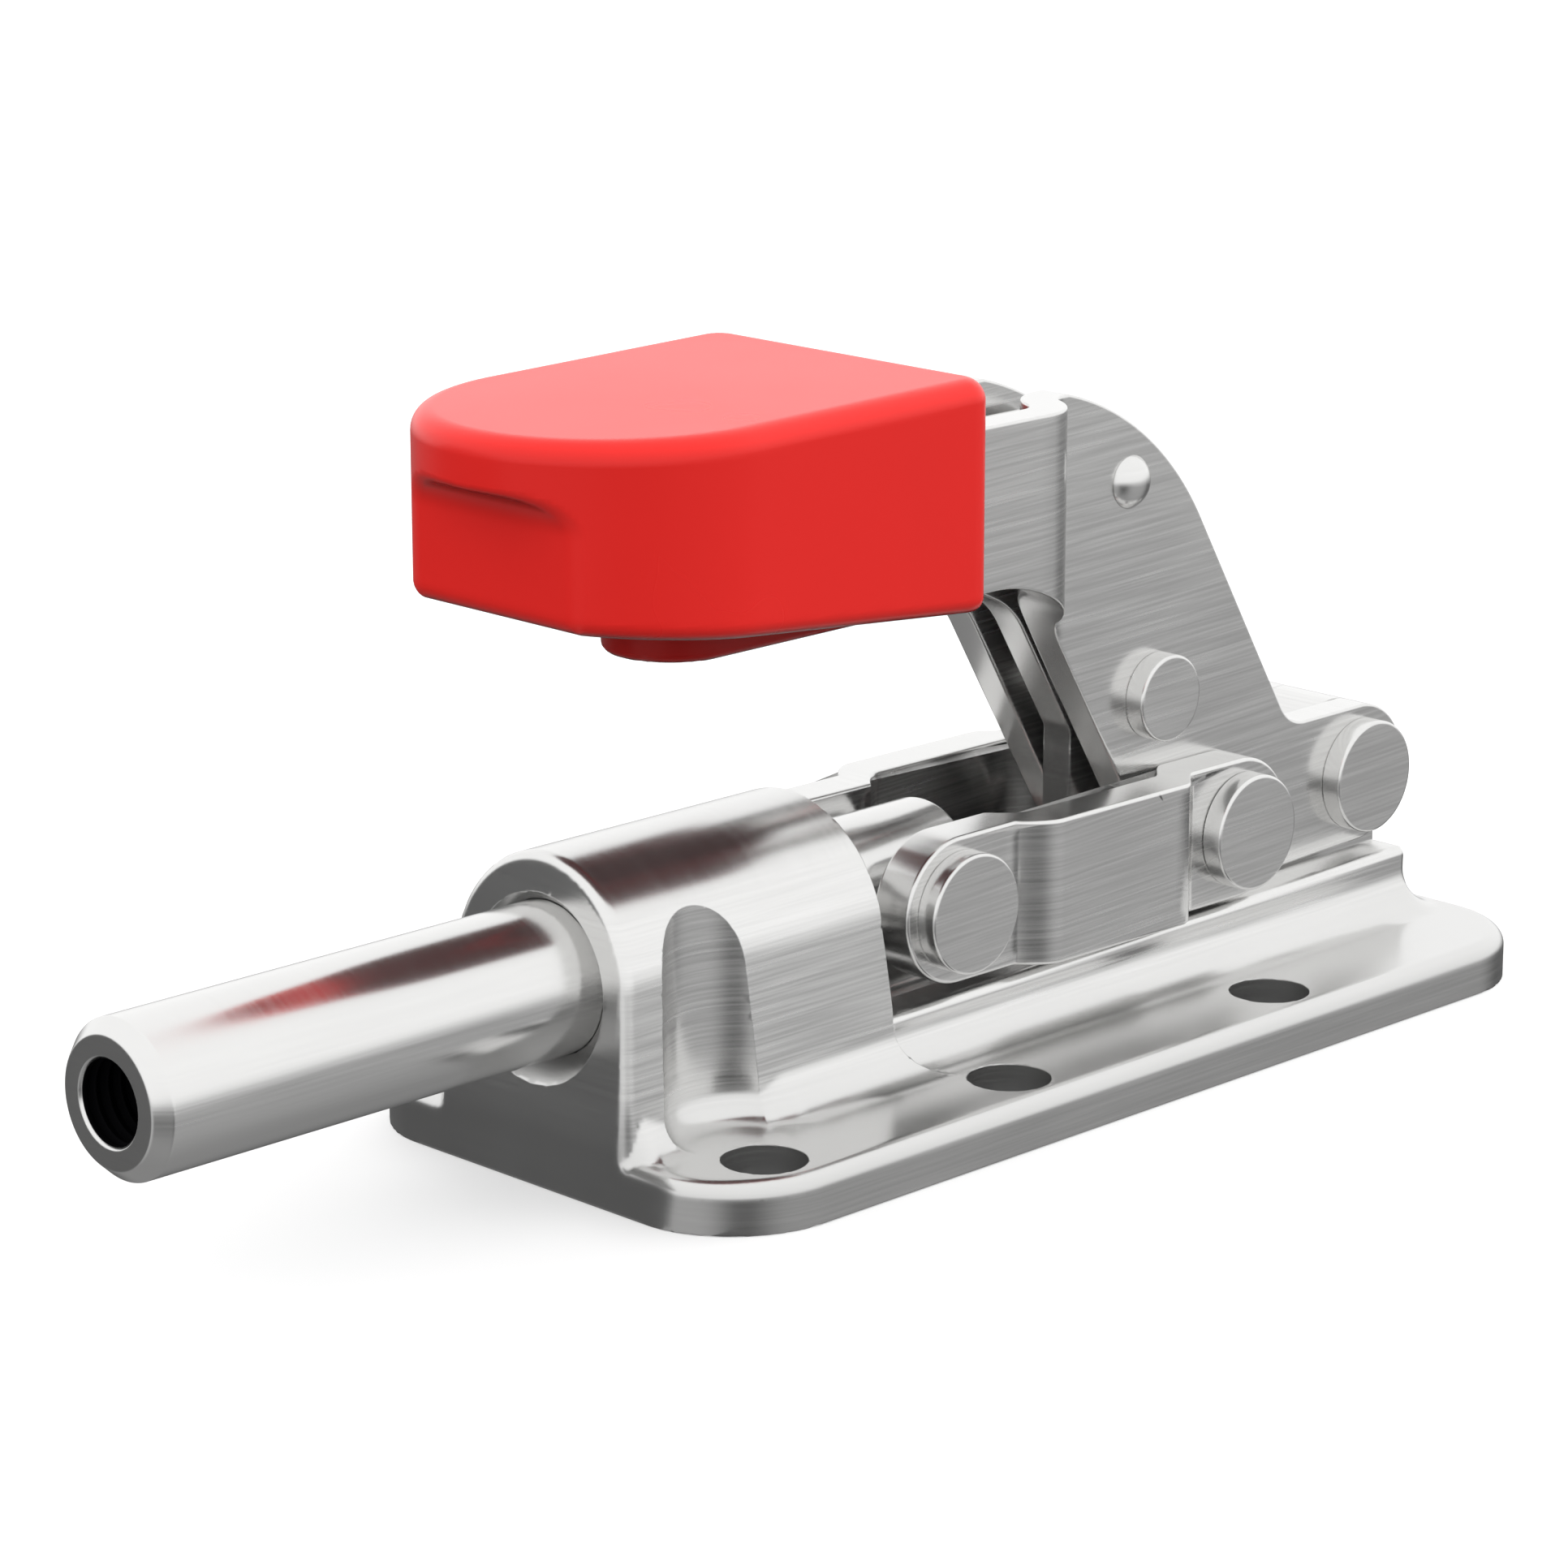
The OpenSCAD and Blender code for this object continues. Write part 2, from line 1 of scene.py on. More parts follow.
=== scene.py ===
"""Looks of a straight-line toggle clamp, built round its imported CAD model.

Frame: origin at the centre of the four outer bolt holes, on the underside of the base.
+X runs from the plunger's tip to the rear, +Z is up, and the clamp is symmetric about Y = 0.
Sizes are in millimetres until a mesh is made, and in metres after that.
"""
import logging
import math
from dataclasses import dataclass
from enum import Enum
from itertools import product
from typing import Callable, Iterable, Sequence

import bmesh
import bpy
import numpy as np
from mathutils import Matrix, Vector
from mathutils.geometry import delaunay_2d_cdt


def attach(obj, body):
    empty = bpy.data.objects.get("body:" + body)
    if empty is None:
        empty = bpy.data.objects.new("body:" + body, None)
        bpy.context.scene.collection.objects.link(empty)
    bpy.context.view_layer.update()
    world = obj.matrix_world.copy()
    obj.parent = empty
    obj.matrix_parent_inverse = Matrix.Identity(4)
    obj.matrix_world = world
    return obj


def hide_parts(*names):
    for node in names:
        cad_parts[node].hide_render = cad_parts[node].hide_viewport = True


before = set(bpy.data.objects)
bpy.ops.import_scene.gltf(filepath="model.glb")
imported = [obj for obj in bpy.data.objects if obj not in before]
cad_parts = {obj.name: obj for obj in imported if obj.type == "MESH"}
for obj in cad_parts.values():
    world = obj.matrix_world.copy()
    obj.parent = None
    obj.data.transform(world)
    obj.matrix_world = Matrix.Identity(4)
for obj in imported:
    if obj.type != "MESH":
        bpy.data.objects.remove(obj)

log = logging.getLogger("clamp")

Point = tuple[float, float]
Span = tuple[float, float]
Triple = tuple[float, float, float]
Array = np.ndarray
Piece = bpy.types.Object
Socket = bpy.types.NodeSocket
Field = Callable[[Array], Array]

MM = 0.001
# Plates of a pair: the near one stands towards -Y
NEAR, FAR = 1.0, -1.0

# Axes that several pieces share: X and Z, or Z alone
PLUNGER_Z = 25.1
PLUNGER_PIN: Point = (-0.8, PLUNGER_Z)
TOGGLE_PIN: Point = (53.25, 24.8)
BASE_PIN: Point = (85.35, PLUNGER_Z)
LEVER_PIN: Point = (42.4, 43.9)
RIVET: Point = (36.9, 73.0)

# Mean length of a cell's unit normals, below which the cell holds a sharp edge
SMOOTH_SKIN = 0.975
# Weakest plane that places a vertex on a sharp edge, as a share of the strongest
FIRM_PLANE = 0.05
# Moves that bring the other vertices onto the skin
SKIN_MOVES = 5
# How alike a corner's two normals are, above which its faces share one
SHARED_NORMAL = 0.95
# Where a face's own normal is read, as a share of the way to its middle
OWN_NORMAL = 0.45
# Least cosine of half of an outline's turn, below which an edge cuts the corner
SHARPEST_TURN = 0.5
# Half of the distance between two samples of a plate's face, for its slope
FACE_STEP = 0.02
# Distance of the ring that keeps a flat face flat beside a round
SUPPORT = 0.06
# Distance within which points of a plate's face are merged
OUTLINE_WELD = 1e-6
# Distances within which points are merged, in metres: in a node tree and in a mesh
TREE_WELD, MESH_WELD = 1e-6, 1e-7
# Angle up to which a turned piece is smooth, in degrees
SMOOTH_ANGLE = 50


class Body(str, Enum):
    """The moving bodies of the clamp."""

    BASE = "base"
    PLUNGER = "plunger"
    LEVER = "lever"
    LINKS = "links"


class Slot(str, Enum):
    """The record's finishes."""

    CASTING = "casting"
    PLATE = "plate"
    PIN = "pin"
    ROD = "rod"
    BUSH = "bush"
    GRIP = "grip"


# Distances to solids, on arrays of points

def round_join(a: Array, b: Array, radius: float | Array) -> Array:
    """Union of two solids, with a round of this radius in the corner between them."""
    u, v = np.maximum(radius - a, 0), np.maximum(radius - b, 0)
    return np.maximum(radius, np.minimum(a, b)) - np.hypot(u, v)


def round_meet(a: Array, b: Array, radius: float | Array) -> Array:
    """Intersection of two solids, with the edge between them rounded to this radius."""
    return -round_join(-a, -b, radius)


def eased(first: float, last: float | Array, start: float, end: float, value: Array) -> Array:
    """The first number up to start, the last one from end, and a smooth way between them."""
    t = np.clip((value - start) / (end - start), 0, 1)
    return first + (last - first) * (t * t * (3 - 2 * t))


def graded(low: float, high: float, coarse: float, fine: float, spots: Sequence[Span]) -> Array:
    """Grid lines from low to high that stand closer together in some stretches.

    Args:
        low: First line.
        high: Last line, or a little less.
        coarse: Usual spacing.
        fine: Spacing inside the spots.
        spots: Stretches that get the fine spacing.

    Returns:
        Places of the lines.
    """
    lines = [low]
    while lines[-1] < high:
        step = fine if any(a <= lines[-1] < b for a, b in spots) else coarse
        lines.append(lines[-1] + step)
    return np.array(lines)


def surface_net(solid: Field, axes: tuple[Array, Array, Array]) -> tuple[Array, Array, Array]:
    """Skin of a solid given by its distance field, on a grid of cells.

    A cell that holds a sharp edge or corner gets its vertex there, where the planes of
    the skin meet. Any other vertex is moved onto the skin.

    Args:
        solid: Distance to the solid at an array of points, one row for each axis.
        axes: Grid lines along X, Y and Z.

    Returns:
        Vertices, quads and outward normals.
    """
    values = solid(np.stack(np.meshgrid(*axes, indexing="ij")))
    inside = values < 0
    shape = np.array(values.shape) - 1
    corners = [inside[a:a + shape[0], b:b + shape[1], c:c + shape[2]]
               for a, b, c in product((0, 1), repeat=3)]
    filled = sum(corner.astype(np.int8) for corner in corners)
    mixed = (filled > 0) & (filled < 8)
    number = np.full(mixed.shape, -1)
    number[mixed] = np.arange(mixed.sum())
    cells = np.argwhere(mixed)

    def places(lines: Array) -> Array:
        """Points where three grid lines meet."""
        return np.stack([axes[d][lines[:, d]] for d in range(3)], 1)

    total, facing, offsets = (np.zeros((len(cells), 3)) for _ in range(3))
    planes, hits = np.zeros((len(cells), 3, 3)), np.zeros(len(cells))
    for axis in range(3):
        others = [d for d in range(3) if d != axis]
        for a, b in product((0, 1), repeat=2):
            start = cells.copy()
            start[:, others[0]] += a
            start[:, others[1]] += b
            end = start.copy()
            end[:, axis] += 1
            v0, v1 = values[tuple(start.T)], values[tuple(end.T)]
            crossed = (v0 < 0) != (v1 < 0)
            share = np.where(crossed, v0 / np.where(crossed, v0 - v1, 1), 0)
            p0, p1 = places(start), places(end)
            cut = (p0 + share[:, None] * (p1 - p0))[crossed]
            normal = unit(slope_at(solid, cut))
            total[crossed] += cut
            hits[crossed] += 1
            facing[crossed] += normal
            planes[crossed] += normal[:, :, None] * normal[:, None, :]
            offsets[crossed] += normal * (normal * cut).sum(1)[:, None]
    points = total / hits[:, None]
    sharp = np.linalg.norm(facing, axis=1) / hits < SMOOTH_SKIN
    spread, along = np.linalg.eigh(planes[sharp])
    firm = spread > FIRM_PLANE * spread[:, 2:]
    miss = offsets[sharp] - np.einsum("nij,nj->ni", planes[sharp], points[sharp])
    pull = np.where(firm, np.einsum("nji,nj->ni", along, miss) / np.where(firm, spread, 1), 0)
    points[sharp] = np.clip(points[sharp] + np.einsum("nij,nj->ni", along, pull),
                            places(cells[sharp]), places(cells[sharp] + 1))

    quads = []
    for axis in range(3):
        u, v = (axis + 1) % 3, (axis + 2) % 3
        low, high = [slice(None)] * 3, [slice(None)] * 3
        low[axis], high[axis] = slice(0, -1), slice(1, None)
        starts_in, ends_in = inside[tuple(low)], inside[tuple(high)]
        edges = np.argwhere(starts_in != ends_in)
        edges = edges[(edges[:, u] > 0) & (edges[:, v] > 0)
                      & (edges[:, u] < shape[u]) & (edges[:, v] < shape[v])]
        ring = []
        for du, dv in ((1, 1), (0, 1), (0, 0), (1, 0)):
            cell = edges.copy()
            cell[:, u] -= du
            cell[:, v] -= dv
            ring.append(number[tuple(cell.T)])
        quad = np.stack(ring, 1)
        outward = starts_in[tuple(edges.T)]
        quads.append(np.where(outward[:, None], quad, quad[:, ::-1]))
    quads = np.concatenate(quads)

    plain = points[~sharp]
    home, reach = plain.copy(), min(np.diff(a).max() for a in axes)
    for _ in range(SKIN_MOVES):
        distance, slope = solid(plain.T), slope_at(solid, plain)
        plain = plain - slope * (distance / np.maximum((slope ** 2).sum(1), 0.1))[:, None]
        plain = home + np.clip(plain - home, -reach, reach)
    points[~sharp] = plain
    return points, quads, unit(slope_at(solid, points))


def split_normals(solid: Field, points: Array, quads: Array) -> Array:
    """Normals of a skin at each corner of each face.

    On a smooth place they are the field's own. At a sharp edge each face takes the
    field's slope a little way inside itself, so that the edge stays crisp.

    Args:
        solid: The field.
        points: Vertices.
        quads: Vertex numbers of each face.

    Returns:
        One normal for each corner, face by face.
    """
    shared = unit(slope_at(solid, points))[quads].reshape(-1, 3)
    middles = np.repeat(points[quads].mean(1), 4, axis=0)
    corners = points[quads].reshape(-1, 3)
    own = unit(slope_at(solid, corners + OWN_NORMAL * (middles - corners)))
    return np.where(((shared * own).sum(1) > SHARED_NORMAL)[:, None], shared, own)


def unit(vectors: Array) -> Array:
    """Vectors of length one, from the rows of an array."""
    return vectors / np.maximum(np.linalg.norm(vectors, axis=1), 1e-9)[:, None]


def slope_at(solid: Field, points: Array, step: float = 0.02) -> Array:
    """Gradient of a distance field.

    Args:
        solid: The field.
        points: Places, one in each row.
        step: Half of the distance between the two samples on each axis.

    Returns:
        One vector for each point.
    """
    slope = np.empty_like(points)
    for axis in range(3):
        shift = np.zeros(3)
        shift[axis] = step
        slope[:, axis] = (solid((points + shift).T) - solid((points - shift).T)) / (2 * step)
    return slope


# Outlines in the clamp's side view

def arc(centre: Point, radius: float, start: float, end: float, count: int = 12) -> list[Point]:
    """Points of an arc, with its angles in degrees."""
    angles = [math.radians(start + (end - start) * i / count) for i in range(count + 1)]
    return [(centre[0] + radius * math.cos(a), centre[1] + radius * math.sin(a)) for a in angles]


def rounded(corners: Sequence[Triple], segments: int = 5) -> list[Point]:
    """A polyline whose corners are rounded.

    Args:
        corners: Places of the corners, each with its radius. The ends keep their corners.
        segments: Straight pieces in each round.

    Returns:
        Points of the polyline.
    """
    line: list[Point] = [corners[0][:2]]
    for before, (x, y, radius), after in zip(corners, corners[1:-1], corners[2:]):
        here = Vector((x, y))
        a = (Vector(before[:2]) - here).normalized()
        b = (Vector(after[:2]) - here).normalized()
        if radius <= 0:
            line.append((x, y))
            continue
        half = a.angle(b) / 2
        start, end = here + a * radius / math.tan(half), here + b * radius / math.tan(half)
        centre = here + (a + b).normalized() * radius / math.sin(half)
        line.append(tuple(start + a * SUPPORT))
        for i in range(segments + 1):
            spoke = (start - centre).lerp(end - centre, i / segments).normalized()
            line.append(tuple(centre + spoke * radius))
        line.append(tuple(end + b * SUPPORT))
    line.append(corners[-1][:2])
    return line


def resample(outline: Sequence[Point], step: Callable[[float], float]) -> Array:
    """A closed outline with its long sides divided.

    The step is read at the middle of a side, and at samples along a side of over 4 mm.

    Args:
        outline: Corners of the outline, counter-clockwise.
        step: Longest side at a place along X.

    Returns:
        Points, one in each row.
    """
    shortest, long_side, samples = 1e-4, 4, 8
    points = [outline[0]]
    for a, b in zip(outline, list(outline[1:]) + [outline[0]]):
        length = math.dist(a, b)
        if length < shortest:
            continue
        count = max(1, math.ceil(length / step((a[0] + b[0]) / 2)))
        if length > long_side:
            least = min(step(a[0] + (b[0] - a[0]) * k / samples) for k in range(samples + 1))
            count = max(count, math.ceil(length / least))
        points += [(a[0] + (b[0] - a[0]) * i / count, a[1] + (b[1] - a[1]) * i / count)
                   for i in range(1, count + 1)]
    return np.array(points[:-1])


def contains(outline: Array, points: Array) -> Array:
    """Which points lie inside a closed outline."""
    x, y = points[:, 0], points[:, 1]
    result = np.zeros(len(points), bool)
    for a, b in zip(outline, np.roll(outline, -1, axis=0)):
        spans = (a[1] > y) != (b[1] > y)
        if spans.any():
            cross = a[0] + (y - a[1]) / (b[1] - a[1] + 1e-12) * (b[0] - a[0])
            result ^= spans & (x < cross)
    return result


def clearance(outline: Array, points: Array) -> Array:
    """Distance from each point to a closed outline."""
    best = np.full(len(points), np.inf)
    for a, b in zip(outline, np.roll(outline, -1, axis=0)):
        d = b - a
        t = np.clip(((points - a) @ d) / max(d @ d, 1e-12), 0, 1)
        best = np.minimum(best, np.linalg.norm(points - a - t[:, None] * d, axis=1))
    return best


# Meshes and objects

def new_object(name: str, vertices: Array, faces: Iterable[Sequence[int]],
               normals: Array | None = None) -> Piece:
    """Makes a mesh object with its place in its mesh.

    Args:
        name: The piece's name.
        vertices: Points in millimetres.
        faces: Vertex numbers of each face.
        normals: Normal at each vertex, or None for smooth shading up to an angle.

    Returns:
        The object, linked to the scene.
    """
    mesh = bpy.data.meshes.new(name)
    mesh.from_pydata((np.asarray(vertices) * MM).tolist(), [], [list(map(int, f)) for f in faces])
    mesh.polygons.foreach_set("use_smooth", [True] * len(mesh.polygons))
    if normals is not None:
        mesh.normals_split_custom_set_from_vertices(normals.tolist())
    mesh.update()
    return linked(name, mesh)


def linked(name: str, data: bpy.types.ID) -> Piece:
    """A new object in the scene, with its mesh, lamp or camera."""
    made = bpy.data.objects.new(name, data)
    bpy.context.scene.collection.objects.link(made)
    return made


def settle(piece: Piece, finish: "Finish", body: Body, *nodes: str) -> None:
    """Gives a piece its finish and hands it to its body.

    Args:
        piece: The object.
        finish: Its finish.
        body: The body that it moves with.
        nodes: CAD nodes that it stands for.
    """
    piece.data.materials.clear()
    piece.data.materials.append(finish.material())
    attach(piece, body.value)
    if nodes:
        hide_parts(*nodes)
    log.info("%s: %d faces on %s", piece.name, len(piece.data.polygons), body.value)


@dataclass
class Plate:
    """A flat or stepped plate with round edges, cut to an outline seen from the side.

    Its faces are given as functions of the place along X, so that steps in the plate
    are part of the mesh.
    """

    name: str
    outline: Sequence[Point]
    near_face: Callable[[Array], Array]
    far_face: Callable[[Array], Array]
    holes: Sequence[Triple] = ()
    edge: float = 0.45
    bends: Sequence[Span] = ()
    bend_step: float = 0.3
    plain_step: float = 2.5
    edge_rings: int = 3
    edge_room: float = 0.35
    hole_share: float = 0.98

    def step(self, x: float) -> float:
        """Longest side of the mesh at a place along the clamp."""
        return self.bend_step if any(a <= x <= b for a, b in self.bends) else self.plain_step

    def face(self, side: float, x: Array) -> Array:
        """Y of the near face (side -1) or of the far one (side 1) at places along X."""
        return (self.near_face if side < 0 else self.far_face)(x)

    def loops(self) -> list[Array]:
        """The outline and the holes, each turned so that its inside is on the left."""
        loops = [resample(self.outline, self.step)]
        for x, z, radius in self.holes:
            loops.append(np.array(arc((x, z), radius, 360, 0, 48)[:-1]))
        return loops

    @staticmethod
    def inward(loop: Array) -> Array:
        """Unit normals into the plate at a loop's points."""
        ahead = unit(np.roll(loop, -1, axis=0) - loop)
        mean = unit(ahead + unit(loop - np.roll(loop, 1, axis=0)))
        turn = np.clip(np.abs((mean * ahead).sum(1)), SHARPEST_TURN, 1)
        return np.stack([-mean[:, 1], mean[:, 0]], 1) / turn[:, None]

    def inner_points(self, loops: list[Array]) -> Array:
        """Points inside the plate's faces, in columns that stand close together in its bends."""
        lows, highs = loops[0].min(0), loops[0].max(0)
        columns = [lows[0]]
        while columns[-1] < highs[0]:
            columns.append(columns[-1] + self.step(columns[-1]))
        rows = np.arange(lows[1], highs[1], self.plain_step)
        grid = np.stack(np.meshgrid(columns, rows, indexing="ij"), -1).reshape(-1, 2)
        grid = grid[contains(loops[0], grid)]
        free = clearance(loops[0], grid) > self.edge + self.edge_room
        for x, z, radius in self.holes:
            away = np.hypot(grid[:, 0] - x, grid[:, 1] - z)
            free &= away > radius + self.edge + self.edge_room
        return grid[free]

    def cap_normals(self, x: Array, side: float) -> Array:
        """Normals of the near face (side -1) or of the far one (side 1)."""
        slope = (self.face(side, x + FACE_STEP) - self.face(side, x - FACE_STEP)) / (2 * FACE_STEP)
        return unit(np.stack([-side * slope, np.full_like(x, side), np.zeros_like(x)], 1))

    def build(self) -> Piece:
        """Makes the plate's mesh.

        Returns:
            The object.
        """
        loops = self.loops()
        vertices, normals, faces = [], [], []
        angles = [math.pi / 2 * k / self.edge_rings for k in range(self.edge_rings + 1)]
        rims: dict[float, list[int]] = {-1.0: [], 1.0: []}
        rim_loops: list[Array] = []
        for loop in loops:
            inward = self.inward(loop)
            rings = []
            for side, turns in ((-1.0, angles), (1.0, angles[::-1])):
                for angle in turns:
                    place = loop + inward * self.edge * (1 - math.sin(angle))
                    y = self.face(side, place[:, 0]) - side * (self.edge * (1 - math.cos(angle)))
                    cap = self.cap_normals(place[:, 0], side)
                    out = np.stack([-inward[:, 0], np.zeros(len(loop)), -inward[:, 1]], 1)
                    normal = cap * math.cos(angle) + out * math.sin(angle)
                    rings.append(len(vertices))
                    if angle == 0:
                        rims[side].append(len(vertices))
                    vertices.extend(zip(place[:, 0], y, place[:, 1]))
                    normals.extend(unit(normal))
            rim_loops.append(loop + inward * self.edge)
            n = len(loop)
            for a, b in zip(rings, rings[1:]):
                faces += [(a + i, b + i, b + (i + 1) % n, a + (i + 1) % n) for i in range(n)]

        inner = self.inner_points(loops)
        flat = np.concatenate(rim_loops + [inner])
        starts = np.cumsum([0] + [len(loop) for loop in rim_loops])
        edges = [(s + i, s + (i + 1) % (e - s))
                 for s, e in zip(starts, starts[1:]) for i in range(e - s)]
        made = delaunay_2d_cdt([Vector(p) for p in flat], edges, [], 0, OUTLINE_WELD)
        back = [old[0] if old else -1 for old in made[3]]
        triangles = np.array([[back[v] for v in face] for face in made[2]])
        middles = flat[triangles].mean(1)
        keep = contains(rim_loops[0], middles)
        for x, z, radius in self.holes:
            away = np.hypot(middles[:, 0] - x, middles[:, 1] - z)
            keep &= away > radius + self.edge * self.hole_share
        triangles = triangles[keep & (triangles >= 0).all(1)]
        for side in (-1.0, 1.0):
            first = len(vertices)
            vertices.extend(zip(inner[:, 0], self.face(side, inner[:, 0]), inner[:, 1]))
            normals.extend(self.cap_normals(inner[:, 0], side))
            numbers = np.concatenate([np.arange(len(loop)) + rim for loop, rim in
                                      zip(rim_loops, rims[side])] + [np.arange(len(inner)) + first])
            cap = numbers[triangles]
            faces += (cap if side < 0 else cap[:, ::-1]).tolist()
        return new_object(self.name, np.array(vertices), faces, np.array(normals))


def build_pair(name: str, node: str, body: Body, outline: Sequence[Point],
               faces: Sequence[Callable[[Array], Array]], **form: object) -> None:
    """Makes the near and the far plate of a pair, which mirror each other.

    Args:
        name: Start of the pieces' names.
        node: Start of the names of the CAD nodes that they stand for.
        body: The body that they move with.
        outline: Their side outline, counter-clockwise.
        faces: How far the outer and the inner face stand from the clamp's middle, along X.
        form: Holes, edge and bends, as a Plate has them.
    """
    for word, side in (("near", NEAR), ("far", FAR)):
        pair = [lambda x, face=face: -side * face(x) for face in faces]
        near_face, far_face = pair if side == NEAR else pair[::-1]
        plate = Plate(f"{name}_{word}", outline, near_face, far_face, **form).build()
        settle(plate, PLATE_FINISH, body, f"{node}_{word}")


class Turning:
    """A node tree that turns a profile round an axis and repeats it along that axis.

    The object's own mesh is the profile: a line of edges with its radius along X and its
    length along Y. The turned piece lies along Y, and its second copy is turned end for end.
    """

    def __init__(self) -> None:
        """Builds the tree with its named inputs."""
        self.tree = bpy.data.node_groups.new("turned_piece", "GeometryNodeTree")
        face = self.tree.interface
        face.new_socket("Geometry", in_out="INPUT", socket_type="NodeSocketGeometry")
        for name, kind in (("Segments", "NodeSocketInt"), ("Copies", "NodeSocketInt"),
                           ("Core", "NodeSocketFloat"), ("Place", "NodeSocketVector"),
                           ("Turn", "NodeSocketVector"), ("Finish", "NodeSocketMaterial")):
            face.new_socket(name, in_out="INPUT", socket_type=kind)
        face.new_socket("Geometry", in_out="OUTPUT", socket_type="NodeSocketGeometry")
        g = Graph(self.tree)
        given = g.add("NodeGroupInput").outputs
        circle = g.add("GeometryNodeCurvePrimitiveCircle", {
            "Resolution": given["Segments"], "Radius": given["Core"]}, mode="RADIUS")
        line = g.add("GeometryNodeMeshToCurve", {"Mesh": given["Geometry"]})
        shape = g.add("GeometryNodeCurveToMesh", {
            "Curve": circle.outputs["Curve"], "Profile Curve": line.outputs["Curve"]}).outputs[0]
        shape = self.chain(g, shape, (
            ("GeometryNodeMergeByDistance", {"Distance": TREE_WELD}),
            ("GeometryNodeTransform", {"Rotation": (math.pi / 2, 0, 0)})))
        number = g.add("GeometryNodeInputIndex").outputs[0]
        half_turn = g.math("MULTIPLY", number, math.pi)
        shape = g.add("GeometryNodeInstanceOnPoints", {
            "Points": g.add("GeometryNodePoints", {"Count": given["Copies"]}).outputs[0],
            "Instance": shape,
            "Rotation": g.add("ShaderNodeCombineXYZ", {"Z": half_turn}).outputs[0]}).outputs[0]
        shape = self.chain(g, shape, (
            ("GeometryNodeRealizeInstances", {}),
            ("GeometryNodeMergeByDistance", {"Distance": TREE_WELD}),
            ("GeometryNodeTransform", {"Rotation": given["Turn"], "Translation": given["Place"]}),
            ("GeometryNodeSetShadeSmooth", {}),
            ("GeometryNodeSetMaterial", {"Material": given["Finish"]})))
        g.add("NodeGroupOutput", {0: shape})

    @staticmethod
    def chain(g: "Graph", shape: Socket, steps: Sequence[tuple[str, dict]]) -> Socket:
        """Adds geometry nodes, each with its other inputs, one after another."""
        for kind, inputs in steps:
            shape = g.add(kind, {"Geometry": shape, **inputs}).outputs[0]
        return shape

    def make(self, name: str, profile: Sequence[Point], place: Sequence[float],
             finish: "Finish", copies: int = 1, turn: Sequence[float] = (0, 0, 0),
             segments: int = 96) -> Piece:
        """Turns one piece.

        Args:
            name: The piece's name.
            profile: Radius and length of each point, in millimetres.
            place: Where the profile's start of length goes, in millimetres.
            finish: Its finish.
            copies: 1, or 2 for a piece whose ends are alike.
            turn: Turn of the whole piece from the Y axis, in radians.
            segments: Facets round the axis.

        Returns:
            The finished object, with a plain mesh.
        """
        core = 1.0
        mesh = bpy.data.meshes.new(name + "_profile")
        mesh.from_pydata([((r - core) * MM, length * MM, 0) for r, length in profile],
                         [(i, i + 1) for i in range(len(profile) - 1)], [])
        source = linked(name + "_profile", mesh)
        modifier = source.modifiers.new("turned", "NODES")
        modifier.node_group = self.tree
        values = {"Segments": segments, "Copies": copies, "Core": core * MM,
                  "Place": [p * MM for p in place], "Turn": list(turn), "Finish": finish.material()}
        for socket in self.tree.interface.items_tree:
            if socket.in_out == "INPUT" and socket.name in values:
                modifier[socket.identifier] = values[socket.name]
        return plain_copy(source, name)


def plain_copy(source: Piece, name: str) -> Piece:
    """Turns an object with a node tree into one with a plain mesh.

    Args:
        source: The object with its modifier. It is deleted.
        name: Name of the new object.

    Returns:
        The new object.
    """
    evaluated = source.evaluated_get(bpy.context.evaluated_depsgraph_get())
    mesh = bpy.data.meshes.new_from_object(evaluated)
    mesh.name = name
    bpy.data.objects.remove(source)
    shell = bmesh.new()
    shell.from_mesh(mesh)
    bmesh.ops.remove_doubles(shell, verts=shell.verts, dist=MESH_WELD)
    bmesh.ops.recalc_face_normals(shell, faces=shell.faces)
    shell.to_mesh(mesh)
    shell.free()
    mesh.set_sharp_from_angle(angle=math.radians(SMOOTH_ANGLE))
    return linked(name, mesh)


